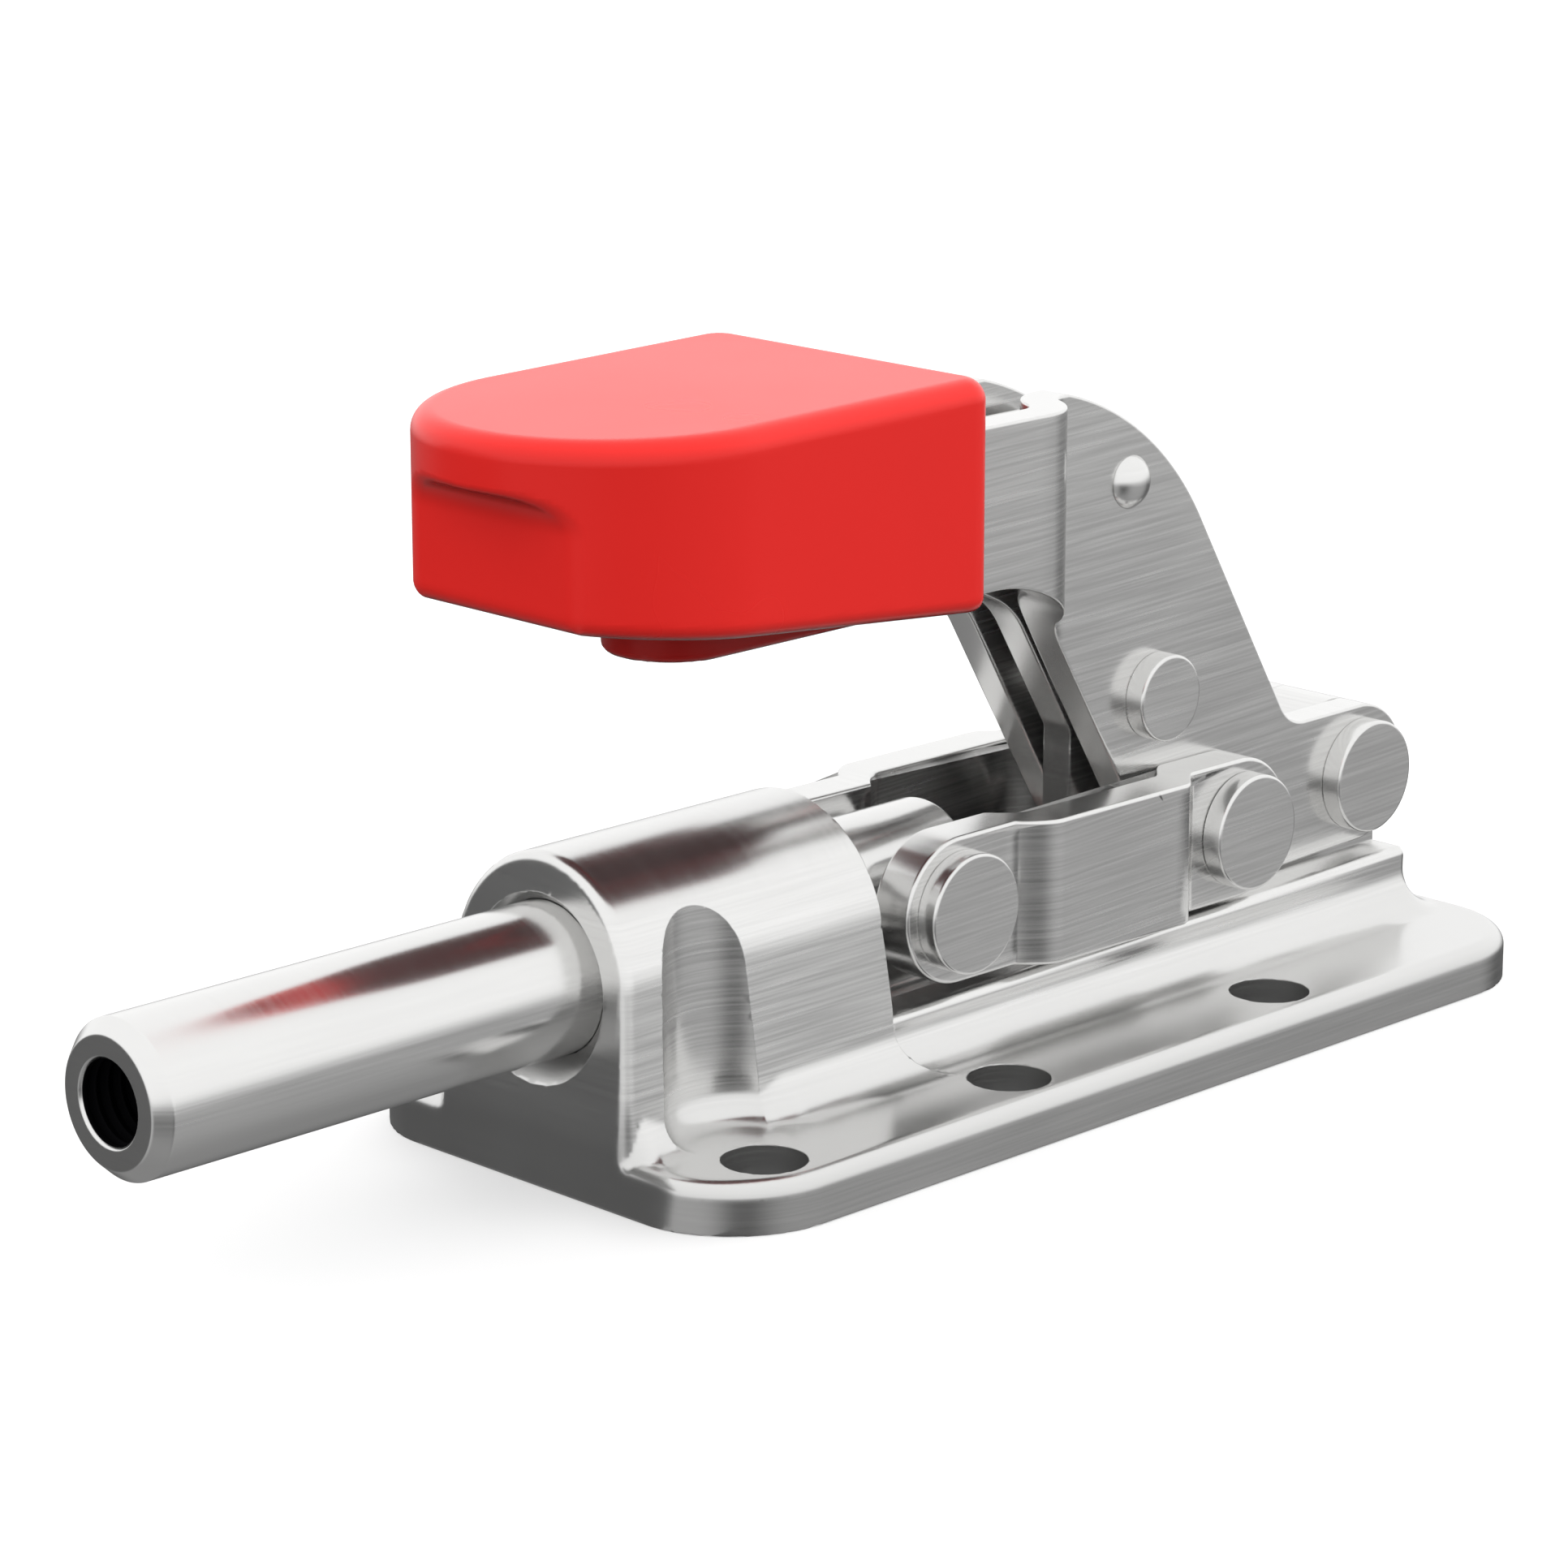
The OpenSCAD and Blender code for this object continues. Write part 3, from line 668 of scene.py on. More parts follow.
class Graph:
    """Short calls that add nodes to a tree and join them."""

    def __init__(self, tree: bpy.types.NodeTree) -> None:
        """Keeps the tree."""
        self.tree = tree

    @classmethod
    def of(cls, owner: bpy.types.ID) -> "Graph":
        """The tree of a material or a world, emptied."""
        owner.use_nodes = True
        owner.node_tree.nodes.clear()
        return cls(owner.node_tree)

    def add(self, kind: str, inputs: dict | None = None, **settings: object) -> bpy.types.Node:
        """Adds a node.

        Args:
            kind: The node's type.
            inputs: Value or source of each of its inputs.
            settings: Other properties of the node.

        Returns:
            The node.
        """
        node = self.tree.nodes.new(kind)
        for key, value in settings.items():
            setattr(node, key, value)
        for key, value in (inputs or {}).items():
            if isinstance(value, Socket):
                self.tree.links.new(value, node.inputs[key])
            else:
                node.inputs[key].default_value = value
        return node

    def math(self, operation: str, a: object, b: object = 0.0) -> Socket:
        """Output of a Math node."""
        return self.add("ShaderNodeMath", {0: a, 1: b}, operation=operation).outputs[0]

    def spread(self, value: object, low: float, high: float, to_low: float = 0.0,
               to_high: float = 1.0, **settings: object) -> Socket:
        """Output of a Map Range node."""
        return self.add("ShaderNodeMapRange", {
            "Value": value, "From Min": low, "From Max": high,
            "To Min": to_low, "To Max": to_high}, **settings).outputs["Result"]

    def blend(self, share: object, a: object, b: object, kind: str = "FLOAT") -> Socket:
        """Output of a Mix node, for numbers or, where kind is RGBA, for colours."""
        return self.add("ShaderNodeMix", {"Factor": share, "A": a, "B": b},
                        data_type=kind).outputs["Result"]

    def axes(self, vector: object) -> "bpy.types.NodeOutputs":
        """X, Y and Z of a vector."""
        return self.add("ShaderNodeSeparateXYZ", {"Vector": vector}).outputs

    def noise(self, vector: object, scale: float, detail: float, rough: float = 0.5) -> Socket:
        """Output of a Noise Texture node."""
        return self.add("ShaderNodeTexNoise", {
            "Vector": vector, "Scale": scale, "Detail": detail, "Roughness": rough}).outputs["Fac"]

    def surface(self, kind: str, inputs: dict, output: str = "ShaderNodeOutputMaterial") -> None:
        """Adds a shader and joins it to the output of its material or world."""
        self.add(output, {"Surface": self.add(kind, inputs).outputs[0]})


def shades(tone: Sequence[float], *factors: float) -> list[tuple[float, ...]]:
    """Darker or brighter versions of a colour, with alpha."""
    return [tuple(c * k for c in tone) + (1,) for k in factors]


# Finishes

@dataclass(frozen=True)
class Finish:
    """What a piece is made of and how it is finished."""

    name: str
    slot: Slot

    def material(self) -> bpy.types.Material:
        """The finish's material, made on its first use."""
        found = bpy.data.materials.get(self.name)
        if found is None:
            found = bpy.data.materials.new(self.name)
            self.build(Graph.of(found))
        return found

    def build(self, g: Graph) -> None:
        """Adds the finish's nodes to an empty tree."""
        raise NotImplementedError


@dataclass(frozen=True)
class BrushedSteel(Finish):
    """Stainless steel with fine lines left by a brush.

    The lines lie level on the sides and run along Y on faces that look up. They are faint
    there, on the ends and on the base's flange. The flange gets painted shade, stronger on
    its sides, and the plunger's tapped hole is painted near-black as shade. Widths,
    lengths, depths and radii are in millimetres, and places along an axis in metres.
    """

    tone: Triple = (0.72, 0.718, 0.71)
    roughness: float = 0.22
    line_pitch: float = 0.42
    line_length: float = 20.0
    line_depth: float = 0.004
    line_detail: float = 1.5
    line_rough: float = 0.55
    end_lines: float = 0.25
    top_lines: float = 0.32
    upward: Span = (0.55, 0.85)
    contrast: float = 0.22
    tilt: float = 2.0
    grain: float = 0.02
    stain_scale: float = 45.0
    worn_edge: float = 0.22
    metallic: float = 0.96
    # Painted shade in the plunger's tapped hole: its radius (0 for none), its colour and its
    # roughness
    bore_shade_radius: float = 0.0
    bore_rim: float = 0.1
    bore_mouth: Span = (-0.1212, -0.1211)
    bore_end: Span = (-0.081, -0.08)
    bore_shade: tuple[float, ...] = (0.006, 0.006, 0.007, 1)
    bore_shade_rough: float = 0.75
    # Painted shade on the flange: its tone, the heights it fades between, and how much more its
    # sides get
    flange_painted_shade_tone: float = 1.0
    flange_shade_rise: Span = (0.0066, 0.0115)
    flange_lines: Span = (0.55, 0.2)
    flange_side_shade: float = 2.4

    def build(self, g: Graph) -> None:
        """Adds the steel's nodes: two sets of lines, worn edges, a slow stain, and painted shade on
        the flange and in the tapped hole.
        """
        place = g.add("ShaderNodeTexCoord").outputs
        facing = g.axes(place["Normal"])
        up = g.math("ABSOLUTE", facing["Z"])
        force = g.math("MULTIPLY",
                       g.spread(g.math("ABSOLUTE", facing["X"]), 0.3, 0.95, 1.0, self.end_lines),
                       g.spread(up, 0.1, 0.45, 1.0, self.top_lines))
        flange, dim = None, 1 - self.flange_painted_shade_tone
        if dim > 0:
            flange = g.spread(g.axes(place["Object"])["Z"], *self.flange_shade_rise, 1.0, 0.0)
            top = g.math("MULTIPLY", flange, g.spread(facing["Z"], 0.1, 0.6))
            calm = g.math("MULTIPLY", g.spread(top, 0.0, 1.0, 1.0, self.flange_lines[1]),
                          g.spread(flange, 0.0, 1.0, 1.0, self.flange_lines[0]))
            force = g.math("MULTIPLY", force, calm)
        lines = self.lines(g, place["Object"], g.spread(up, *self.upward))
        lines = g.math("ADD", g.math("MULTIPLY", g.math("SUBTRACT", lines, 0.5), force), 0.5)
        cloud = g.noise(place["Object"], self.stain_scale, 3.0)
        shade = g.math("ADD", g.spread(lines, 0.3, 0.7, -self.contrast / 2, self.contrast / 2),
                       g.spread(cloud, 0.3, 0.7, -self.grain, self.grain))
        dark, light = shades(self.tone, 0.7, 1.3)
        colour = g.blend(g.math("ADD", shade, 0.5), dark, light, "RGBA")
        rough = g.math("ADD",
                       g.spread(lines, 0.3, 0.7, self.roughness - 0.05, self.roughness + 0.06),
                       g.spread(cloud, 0.35, 0.65, -0.02, 0.02))
        # Painted shade on the flange, stronger on its sides than on its top
        if flange is not None:
            share = g.math("MULTIPLY", flange, g.spread(
                facing["Z"], 0.2, 0.8, self.flange_side_shade * dim, dim))
            colour = g.blend(share, colour, (0.0, 0.0, 0.0, 1), "RGBA")
        # Painted shade: the tapped hole is made near-black and dull
        if self.bore_shade_radius:
            unshaded = self.outside_bore(g, place["Object"])
            colour = g.blend(unshaded, self.bore_shade, colour, "RGBA")
            rough = g.math("MAXIMUM", rough, g.spread(unshaded, 0.0, 1.0, self.bore_shade_rough, 0.0))
        edges = g.add("ShaderNodeBevel", {"Radius": self.worn_edge * MM}, samples=4)
        bump = g.add("ShaderNodeBump", {
            "Height": lines, "Strength": 1.0, "Distance": self.line_depth * MM,
            "Normal": edges.outputs[0]})
        g.surface("ShaderNodeBsdfPrincipled", {
            "Base Color": colour, "Metallic": self.metallic, "Roughness": rough,
            "Normal": bump.outputs[0]})

    def lines(self, g: Graph, place: Socket, upward: Socket) -> Socket:
        """Adds the brush's lines.

        Args:
            g: The finish's tree.
            place: Object coordinates.
            upward: 0 on the sides, where the lines lie level, and 1 on faces that look up.

        Returns:
            Height of the lines, 0.5 in the mean.
        """
        fine, slow = 1 / (self.line_pitch * MM), 1 / (self.line_length * MM)
        turned = g.add("ShaderNodeMapping", {
            "Vector": place, "Rotation": (0, math.radians(self.tilt), 0)}).outputs[0]
        level, across = [
            g.noise(g.add("ShaderNodeMapping", {"Vector": way, "Scale": scale}).outputs[0],
                    1.0, self.line_detail, self.line_rough)
            for way, scale in ((turned, (slow, slow, fine)), (place, (fine, slow, slow)))]
        return g.blend(upward, level, across)

    def outside_bore(self, g: Graph, place: Socket) -> Socket:
        """Tells the tapped hole in the plunger's tip, which is painted near-black as shade, from
        the rest.

        Args:
            g: The finish's tree.
            place: Object coordinates.

        Returns:
            0 in the hole and 1 outside it.
        """
        centred = g.add("ShaderNodeVectorMath", {0: place, 1: (0, 0, -PLUNGER_Z * MM)},
                        operation="ADD").outputs[0]
        flat = g.add("ShaderNodeVectorMath", {0: centred, 1: (0, 1, 1)},
                     operation="MULTIPLY").outputs[0]
        reach = g.add("ShaderNodeVectorMath", {0: flat}, operation="LENGTH").outputs["Value"]
        behind = g.axes(place)["X"]
        rim = (self.bore_shade_radius - self.bore_rim) * MM
        inner = g.math("MAXIMUM", g.spread(reach, rim, self.bore_shade_radius * MM),
                       g.spread(behind, *self.bore_end))
        return g.math("MAXIMUM", inner, g.spread(behind, *self.bore_mouth, 1.0, 0.0))


@dataclass(frozen=True)
class PlainMetal(Finish):
    """Machined or cast metal with a fine grain and no lines."""

    tone: Triple = (0.4, 0.4, 0.39)
    roughness: float = 0.3
    grain_scale: float = 1800.0
    grain_depth: float = 0.004
    cloud_scale: float = 60.0

    def build(self, g: Graph) -> None:
        """Adds the metal's nodes: a grain in height and a slow change in gloss."""
        place = g.add("ShaderNodeTexCoord").outputs["Object"]
        cloud = g.noise(place, self.cloud_scale, 3.0)
        dark, light = shades(self.tone, 0.92, 1.08)
        bump = g.add("ShaderNodeBump", {
            "Height": g.noise(place, self.grain_scale, 2.0), "Strength": 0.6,
            "Distance": self.grain_depth * MM})
        g.surface("ShaderNodeBsdfPrincipled", {
            "Base Color": g.blend(cloud, dark, light, "RGBA"), "Metallic": 1.0,
            "Roughness": g.spread(cloud, 0.3, 0.7, self.roughness - 0.03, self.roughness + 0.04),
            "Normal": bump.outputs[0]})


@dataclass(frozen=True)
class MouldedPlastic(Finish):
    """Dipped or moulded plastic with a satin gloss.

    It has painted shade on the boss, below a plane that slopes as the grip's underside does, and on
    faces that look down.
    """

    tone: Triple = (0.87, 0.024, 0.02)
    roughness: float = 0.26
    ior: float = 1.46
    specular: float = 0.24
    grain_scale: float = 1500.0
    grain_depth: float = 0.01
    wave_scale: float = 38.0
    wave_share: float = 1.5
    # Painted shade: how much of the plain colour faces that look down and the boss keep, and the
    # shadow colour they are mixed towards
    underside: float = 0.25
    boss_painted_shade: float = 0.5
    boss_shade_rise: Span = (0.0638, 0.0646)
    boss_shade_slope: float = 0.09
    shadow: tuple[float, ...] = (0.01, 0.002, 0.002, 1)

    def build(self, g: Graph) -> None:
        """Adds the plastic's nodes: a very fine grain, slow waves, and painted shade on the boss
        and on faces that look down.
        """
        coordinates = g.add("ShaderNodeTexCoord").outputs
        place = coordinates["Object"]
        spot, facing = g.axes(place), g.axes(coordinates["Normal"])
        waves = g.noise(place, self.wave_scale, 2.0)
        dark, light = shades(self.tone, 0.95, 1.03)
        # Painted shade: the boss and the faces that look down are mixed towards the shadow colour
        level = g.math("ADD", spot["Z"], g.math("MULTIPLY", spot["X"], self.boss_shade_slope))
        unshaded = g.math("MULTIPLY", g.spread(level, *self.boss_shade_rise, self.boss_painted_shade, 1.0),
                       g.spread(facing["Z"], -0.95, -0.6, self.underside, 1.0))
        height = g.math("ADD", g.math("MULTIPLY", waves, self.wave_share),
                        g.noise(place, self.grain_scale, 2.0))
        bump = g.add("ShaderNodeBump", {
            "Height": height, "Strength": 0.5, "Distance": self.grain_depth * MM})
        g.surface("ShaderNodeBsdfPrincipled", {
            "Base Color": g.blend(unshaded, self.shadow, g.blend(waves, dark, light, "RGBA"), "RGBA"),
            "IOR": self.ior, "Specular IOR Level": self.specular,
            "Roughness": g.spread(waves, 0.0, 1.0, self.roughness - 0.04, self.roughness + 0.04),
            "Normal": bump.outputs[0]})


# The casting has painted shade on its flange, and the rod has painted shade in its tapped hole
CASTING_FINISH = BrushedSteel("cast_steel", Slot.CASTING, tilt=0.0, contrast=0.3, flange_painted_shade_tone=0.92)
PLATE_FINISH = BrushedSteel("plate_steel", Slot.PLATE)
ROD_FINISH = BrushedSteel("rod_steel", Slot.ROD, roughness=0.2, contrast=0.12, line_depth=0.003,
                          tilt=0.0, bore_shade_radius=6.2)
PIN_FINISH = BrushedSteel("pin_steel", Slot.PIN, contrast=0.16)
BUSH_FINISH = PlainMetal("bush_brass", Slot.BUSH, tone=(0.62, 0.42, 0.16))
GRIP_FINISH = MouldedPlastic("red_plastic", Slot.GRIP)


# Sub-assemblies

@dataclass
class BaseCasting:
    """The base: a flange, the plunger's barrel, two rails and the lever's lug, in one casting.

    The fillet at the foot of the barrel, the rails and the lug changes size between two
    distances from the middle (channel_reach), from the groove's wall (groove_reach) and from
    the flange's front (front_reach). The edge's round changes between two heights (edge_rise).
    """

    length: float = 156.2
    width: float = 70.0
    front: float = -59.8
    corner: float = 15.6
    flange: float = 6.5
    flange_edge: float = 2.2
    hole_radius: float = 5.25
    hole_x: tuple[float, ...] = (-46.3, -3.7, 46.3)
    hole_y: float = 27.0
    hole_cells: float = 6.2
    barrel_radius: float = 15.4
    barrel_front: float = -57.7
    barrel_rear: float = -14.3
    barrel_edge: float = 1.4
    front_edge: float = 1.0
    edge_rise: Span = (6, 14)
    draft: float = 0.085
    foot_fillet: float = 5.5
    channel_fillet: float = 1.5
    channel_reach: Span = (8.0, 11.0)
    front_fillet: float = 0.3
    front_reach: Span = (0.8, 4.0)
    groove_x: float = -44.8
    groove_y: float = 21.8
    groove_radius: float = 9.4
    groove_fillet: float = 3.6
    groove_reach: Span = (-1.5, 4.0)
    bore_radius: float = 9.575
    bore_run: float = 12.0
    countersink: float = 2.0
    channel_half: float = 9.9
    rail_half: float = 15.5
    rail_top: Span = (13.7, 15.1)
    rail_rear: float = 89.3
    rail_edge: float = 1.2
    rail_root: float = 6.0
    rail_fillet: float = 0.8
    ear_radius: float = 9.6
    lug_half: float = 4.8
    lug_top: Point = (9.51, 23.76)
    lug_slopes: Span = (0.246, 0.038)
    lug_cosine: float = 0.971
    eye_run: float = 4.0
    bush_radius: float = 6.27

    def field(self, p: Array) -> Array:
        """Distance to the casting.

        Args:
            p: Points, one row for each axis.

        Returns:
            Signed distances.
        """
        x, y, z = p
        side, h = np.abs(y), z - PLUNGER_Z
        lean = math.atan(self.draft)

        middle = self.front + self.length / 2
        qx = np.abs(x - middle) - self.length / 2 + self.corner
        qy = side - self.width / 2 + self.corner
        plan = (np.hypot(np.maximum(qx, 0), np.maximum(qy, 0))
                + np.minimum(np.maximum(qx, qy), 0) - self.corner)

        wall = side * math.cos(lean) + h * math.sin(lean) - self.barrel_radius
        section = np.where(np.arctan2(h, side) > lean, np.hypot(side, h) - self.barrel_radius, wall)
        front = (self.barrel_front + self.draft * h - x) * math.cos(lean)
        rear = (x - self.barrel_rear + self.draft * h) * math.cos(lean)
        groove = np.hypot(x - self.groove_x, side - self.groove_y) - self.groove_radius
        barrel = np.maximum(np.maximum(section, rear), -groove)

        run = (x - self.barrel_rear) / (self.rail_rear - self.barrel_rear)
        top = z - self.rail_top[0] - (self.rail_top[1] - self.rail_top[0]) * run
        rails = round_meet(round_meet(side - self.rail_half, top, self.rail_edge),
                           x - self.rail_rear, self.rail_edge)
        rails = np.maximum(rails, np.maximum(self.channel_half - side,
                                             self.barrel_rear - self.rail_root - x))

        lug_x, drop = x - BASE_PIN[0], self.lug_top[1] - z
        slopes = np.maximum(
            (-lug_x - self.lug_top[0] - drop * self.lug_slopes[0]) * self.lug_cosine,
            lug_x - self.lug_top[0] - drop * self.lug_slopes[1])
        ear = np.minimum(np.hypot(lug_x, h) - self.ear_radius, np.maximum(slopes, -drop))
        lug = np.maximum(ear, side - self.lug_half)

        body = np.minimum(round_join(barrel, rails, self.rail_fillet), lug)
        fillet = eased(self.channel_fillet, self.foot_fillet, *self.channel_reach, side)
        fillet = eased(self.groove_fillet, fillet, *self.groove_reach, groove)
        fillet = eased(self.front_fillet, fillet, self.front + self.front_reach[0],
                       self.front + self.front_reach[1], x)
        solid = round_join(z - self.flange, body, fillet)
        edge = eased(self.flange_edge, self.barrel_edge, *self.edge_rise, z)
        solid = round_meet(solid, round_meet(plan, front, self.front_edge), edge)

        around, depth = np.hypot(y, h), x - self.barrel_front
        mouth = (around - self.bore_radius - self.countersink + depth) * math.sqrt(0.5)
        bore = np.minimum(
            np.maximum(around - self.bore_radius, x - self.barrel_rear - self.bore_run),
            np.maximum(mouth, depth - self.countersink))
        holes = np.min([np.hypot(x - hx, side - self.hole_y) for hx in self.hole_x], axis=0)
        eye = np.maximum(np.hypot(lug_x, h) - self.bush_radius, side - self.lug_half - self.eye_run)
        for cut in (bore, holes - self.hole_radius, eye, z):
            solid = np.maximum(solid, -cut)
        return solid

    def build(self) -> None:
        """Makes the casting."""
        # The grid reaches past the casting. Its lines stand closer at holes, fillets and edges
        near_holes = [(hx - self.hole_cells, hx + self.hole_cells) for hx in self.hole_x]
        xs = graded(self.front - 1.3, self.front + self.length + 1.3, 0.95, 0.55,
                    [(-62, -33), (-18, -10)] + near_holes + [(87, 98)])
        half = self.width / 2 + 1.27
        ys = graded(-half, half, 0.75, 0.6, [(-34, -20), (20, 34), (-12, 12)])
        zs = graded(-0.9, PLUNGER_Z + self.barrel_radius + 1.3, 0.65, 0.55, [(0, 10)])
        points, quads, _ = surface_net(self.field, (xs, ys, zs))
        body = new_object("base_body", points, quads)
        body.data.normals_split_custom_set(split_normals(self.field, points, quads).tolist())
        settle(body, CASTING_FINISH, Body.BASE, "base_casting")


@dataclass
class TurnedPieces:
    """The plunger, the pins, the rivet, the bushes and the spacer rings."""

    turning: Turning
    plunger_radius: float = 9.525
    tip_to_pin: float = 120.7
    pin_to_tail: float = 9.8
    tip_bevel: Span = (1.7, 1.9)
    tip_round: float = 0.5
    tail_round: float = 0.6
    hole_radius: float = 5.1
    hole_depth: float = 28.0
    hole_cone: float = 3.0
    thread_radius: float = 5.95
    thread_pitch: float = 1.75
    thread_end: float = 3.0
    pin_radius: float = 4.75
    head_radius: float = 7.75
    head_t: float = 2.95
    head_foot: float = 0.12
    head_bevel: float = 0.4
    bush_wall: float = 1.5
    bush_bevel: float = 0.3
    play: float = 0.05
    lever_pin_radius: float = 3.5
    lever_pin_head: float = 5.75
    rivet_radius: float = 2.4
    rivet_head: float = 3.5
    rivet_height: float = 2.1
    lever_in: float = 4.85
    lever_out: float = 9.7
    link_in: float = 9.75
    link_out: float = 15.75
    centre_side: float = 2.4
    spacer_wall: float = 3.2
    spacer_play: float = 0.02
    edge: float = 0.2
    sides: tuple[tuple[str, float], ...] = (("near", math.pi), ("far", 0.0))

    def lathe(self, name: str, node: str, body: Body, profile: Sequence[Point], place: Point,
              finish: Finish = PIN_FINISH, **form: object) -> None:
        """Turns a piece from a profile that starts at X and Z, and hands it to its body."""
        piece = self.turning.make(name, profile, (place[0], 0, place[1]), finish, **form)
        settle(piece, finish, body, node)

    def headed(self, radius: float, head: float, out: float, start: float = 0) -> list[Point]:
        """Half of a headed pin's profile: its shank from start to out, and its head."""
        end = out + self.head_t
        return rounded([(radius, start, 0), (radius, out, 0), (head, out, self.head_foot),
                        (head, end, self.head_bevel), (0, end, 0)])

    def build_plunger(self) -> None:
        """Makes the plunger, with its hole in the tip."""
        length = self.tip_to_pin + self.pin_to_tail
        r, hole, pitch = self.plunger_radius, self.hole_radius, self.thread_pitch
        profile = [(0, self.hole_depth + self.hole_cone), (hole, self.hole_depth)]
        for i in range(int((self.hole_depth - self.thread_end) / pitch), 0, -1):
            profile += [(hole, (i + 0.3) * pitch), (self.thread_radius, i * pitch)]
        profile += rounded([
            (hole, 1.0, 0), (hole, 0.3, 0), (hole + 0.3, 0, 0.05),
            (r - self.tip_bevel[0], 0, self.tip_round), (r, self.tip_bevel[1], self.tip_round),
            (r, length - 0.8, 0), (r, length, self.tail_round), (0, length, 0)])
        self.lathe("plunger_rod", "plunger", Body.PLUNGER, profile,
                   (PLUNGER_PIN[0] - self.tip_to_pin, PLUNGER_Z), ROD_FINISH,
                   turn=(0, 0, -math.pi / 2), segments=128)

    def build_pins(self) -> None:
        """Makes the headed pins and the rivet."""
        large = self.pin_radius, self.head_radius
        small = self.lever_pin_radius, self.lever_pin_head
        for name, node, place, sizes, out in (
                ("toggle_pin_body", "toggle_pin", TOGGLE_PIN, large, self.link_out + self.play),
                ("base_pin_body", "base_pivot_pin", BASE_PIN, large, self.lever_out),
                ("lever_pin_body", "lever_pin", LEVER_PIN, small, self.lever_out)):
            self.lathe(name, node, Body.LEVER, self.headed(*sizes, out), place, copies=2)

        dome = self.rivet_height
        ball = (self.rivet_head ** 2 + dome ** 2) / (2 * dome)
        sweep = math.degrees(math.asin(self.rivet_head / ball))
        shank = [(self.rivet_radius, 0.0), (self.rivet_radius, self.lever_out)]
        cap = arc((0, self.lever_out + dome - ball), ball, 90 - sweep, 90, 24)
        self.lathe("grip_rivet_body", "grip_rivet", Body.LEVER, shank + cap, RIVET, copies=2)

    def build_cross_pin(self) -> None:
        """Makes the middle of the plunger's cross pin and its two headed ends."""
        radius, start = self.pin_radius, self.link_in
        reach = math.sqrt(self.plunger_radius ** 2 - radius ** 2)
        middle = rounded([(radius, 0, 0), (radius, reach, self.edge), (0, reach, 0)])
        self.lathe("cross_pin_middle", "plunger_pin", Body.PLUNGER, middle, PLUNGER_PIN, copies=2)
        end = [(0, start)] + self.headed(radius, self.head_radius, self.link_out, start)
        for side, turn in self.sides:
            self.lathe(f"cross_pin_end_{side}", f"plunger_pin_end_{side}", Body.LINKS, end,
                       PLUNGER_PIN, turn=(0, 0, turn))

    def build_bushes(self) -> None:
        """Makes the bushes in the lug and in the plunger."""
        outer, inner = self.pin_radius + self.bush_wall, self.pin_radius + self.play
        reach = math.sqrt(self.plunger_radius ** 2 - outer ** 2)
        bevel = self.bush_bevel
        for node, body, place, half in (
                ("lug_bush", Body.BASE, BASE_PIN, self.lever_in - self.play),
                ("plunger_bush", Body.PLUNGER, PLUNGER_PIN, reach)):
            ring = [(inner, 0), (inner, half - bevel), (inner + bevel, half),
                    (outer - bevel, half), (outer, half - bevel), (outer, 0)]
            self.lathe(f"{node}_ring", node, body, ring, place, BUSH_FINISH, copies=2)

    def build_spacers(self) -> None:
        """Makes the six spacer rings between the centre plate and the lever plates."""
        low, high = self.centre_side, self.lever_in
        for joint, place, radius in (("toggle", TOGGLE_PIN, self.pin_radius),
                                     ("lever", LEVER_PIN, self.lever_pin_radius),
                                     ("rivet", RIVET, self.rivet_radius)):
            inner, outer = radius + self.spacer_play, radius + self.spacer_wall
            ring = rounded([(inner, low, 0), (outer, low, self.edge), (outer, high, self.edge),
                            (inner, high, 0), (inner, low, 0)])
            for side, turn in self.sides:
                self.lathe(f"{joint}_ring_{side}", f"{joint}_spacer_{side}", Body.LEVER, ring,
                           place, turn=(0, 0, turn), segments=64)

    def build(self) -> None:
        """Makes every turned piece."""
        self.build_plunger()
        self.build_pins()
        self.build_cross_pin()
        self.build_bushes()
        self.build_spacers()


@dataclass
class Links:
    """The two toggle links: bars with round eyes, whose middles are pressed outwards."""

    pin: Point = PLUNGER_PIN
    toggle: Point = TOGGLE_PIN
    eye_radius: float = 9.5
    hole_radius: float = 4.77
    inner: float = 9.75
    thickness: float = 6.0
    joggle: float = 3.45
    step_out: Span = (10.3, 15.5)
    step_in: Span = (39.0, 44.5)
    step_power: float = 1.8

    def lift(self, x: Array) -> Array:
        """How far the link stands outwards at a place along the clamp."""
        u = x - self.pin[0]
        rise = np.clip((u - self.step_out[0]) / (self.step_out[1] - self.step_out[0]), 0, 1)
        return self.joggle * (1 - (1 - rise) ** self.step_power - eased(0, 1, *self.step_in, u))

    def outline(self) -> list[Point]:
        """The link's side outline, counter-clockwise."""
        tilt = math.degrees(math.atan2(self.pin[1] - self.toggle[1],
                                       self.toggle[0] - self.pin[0]))
        return (arc(self.pin, self.eye_radius, 90 - tilt, 270 - tilt, 40)
                + arc(self.toggle, self.eye_radius, -90 - tilt, 90 - tilt, 40))

    def build(self) -> None:
        """Makes both links."""
        build_pair("link_bar", "link", Body.LINKS, self.outline(),
                   (lambda x: self.inner + self.thickness + self.lift(x),
                    lambda x: self.inner + self.lift(x)),
                   holes=[(*self.pin, self.hole_radius), (*self.toggle, self.hole_radius)],
                   edge=0.5, bends=[(8, 16), (37, 45)], bend_step=0.25)


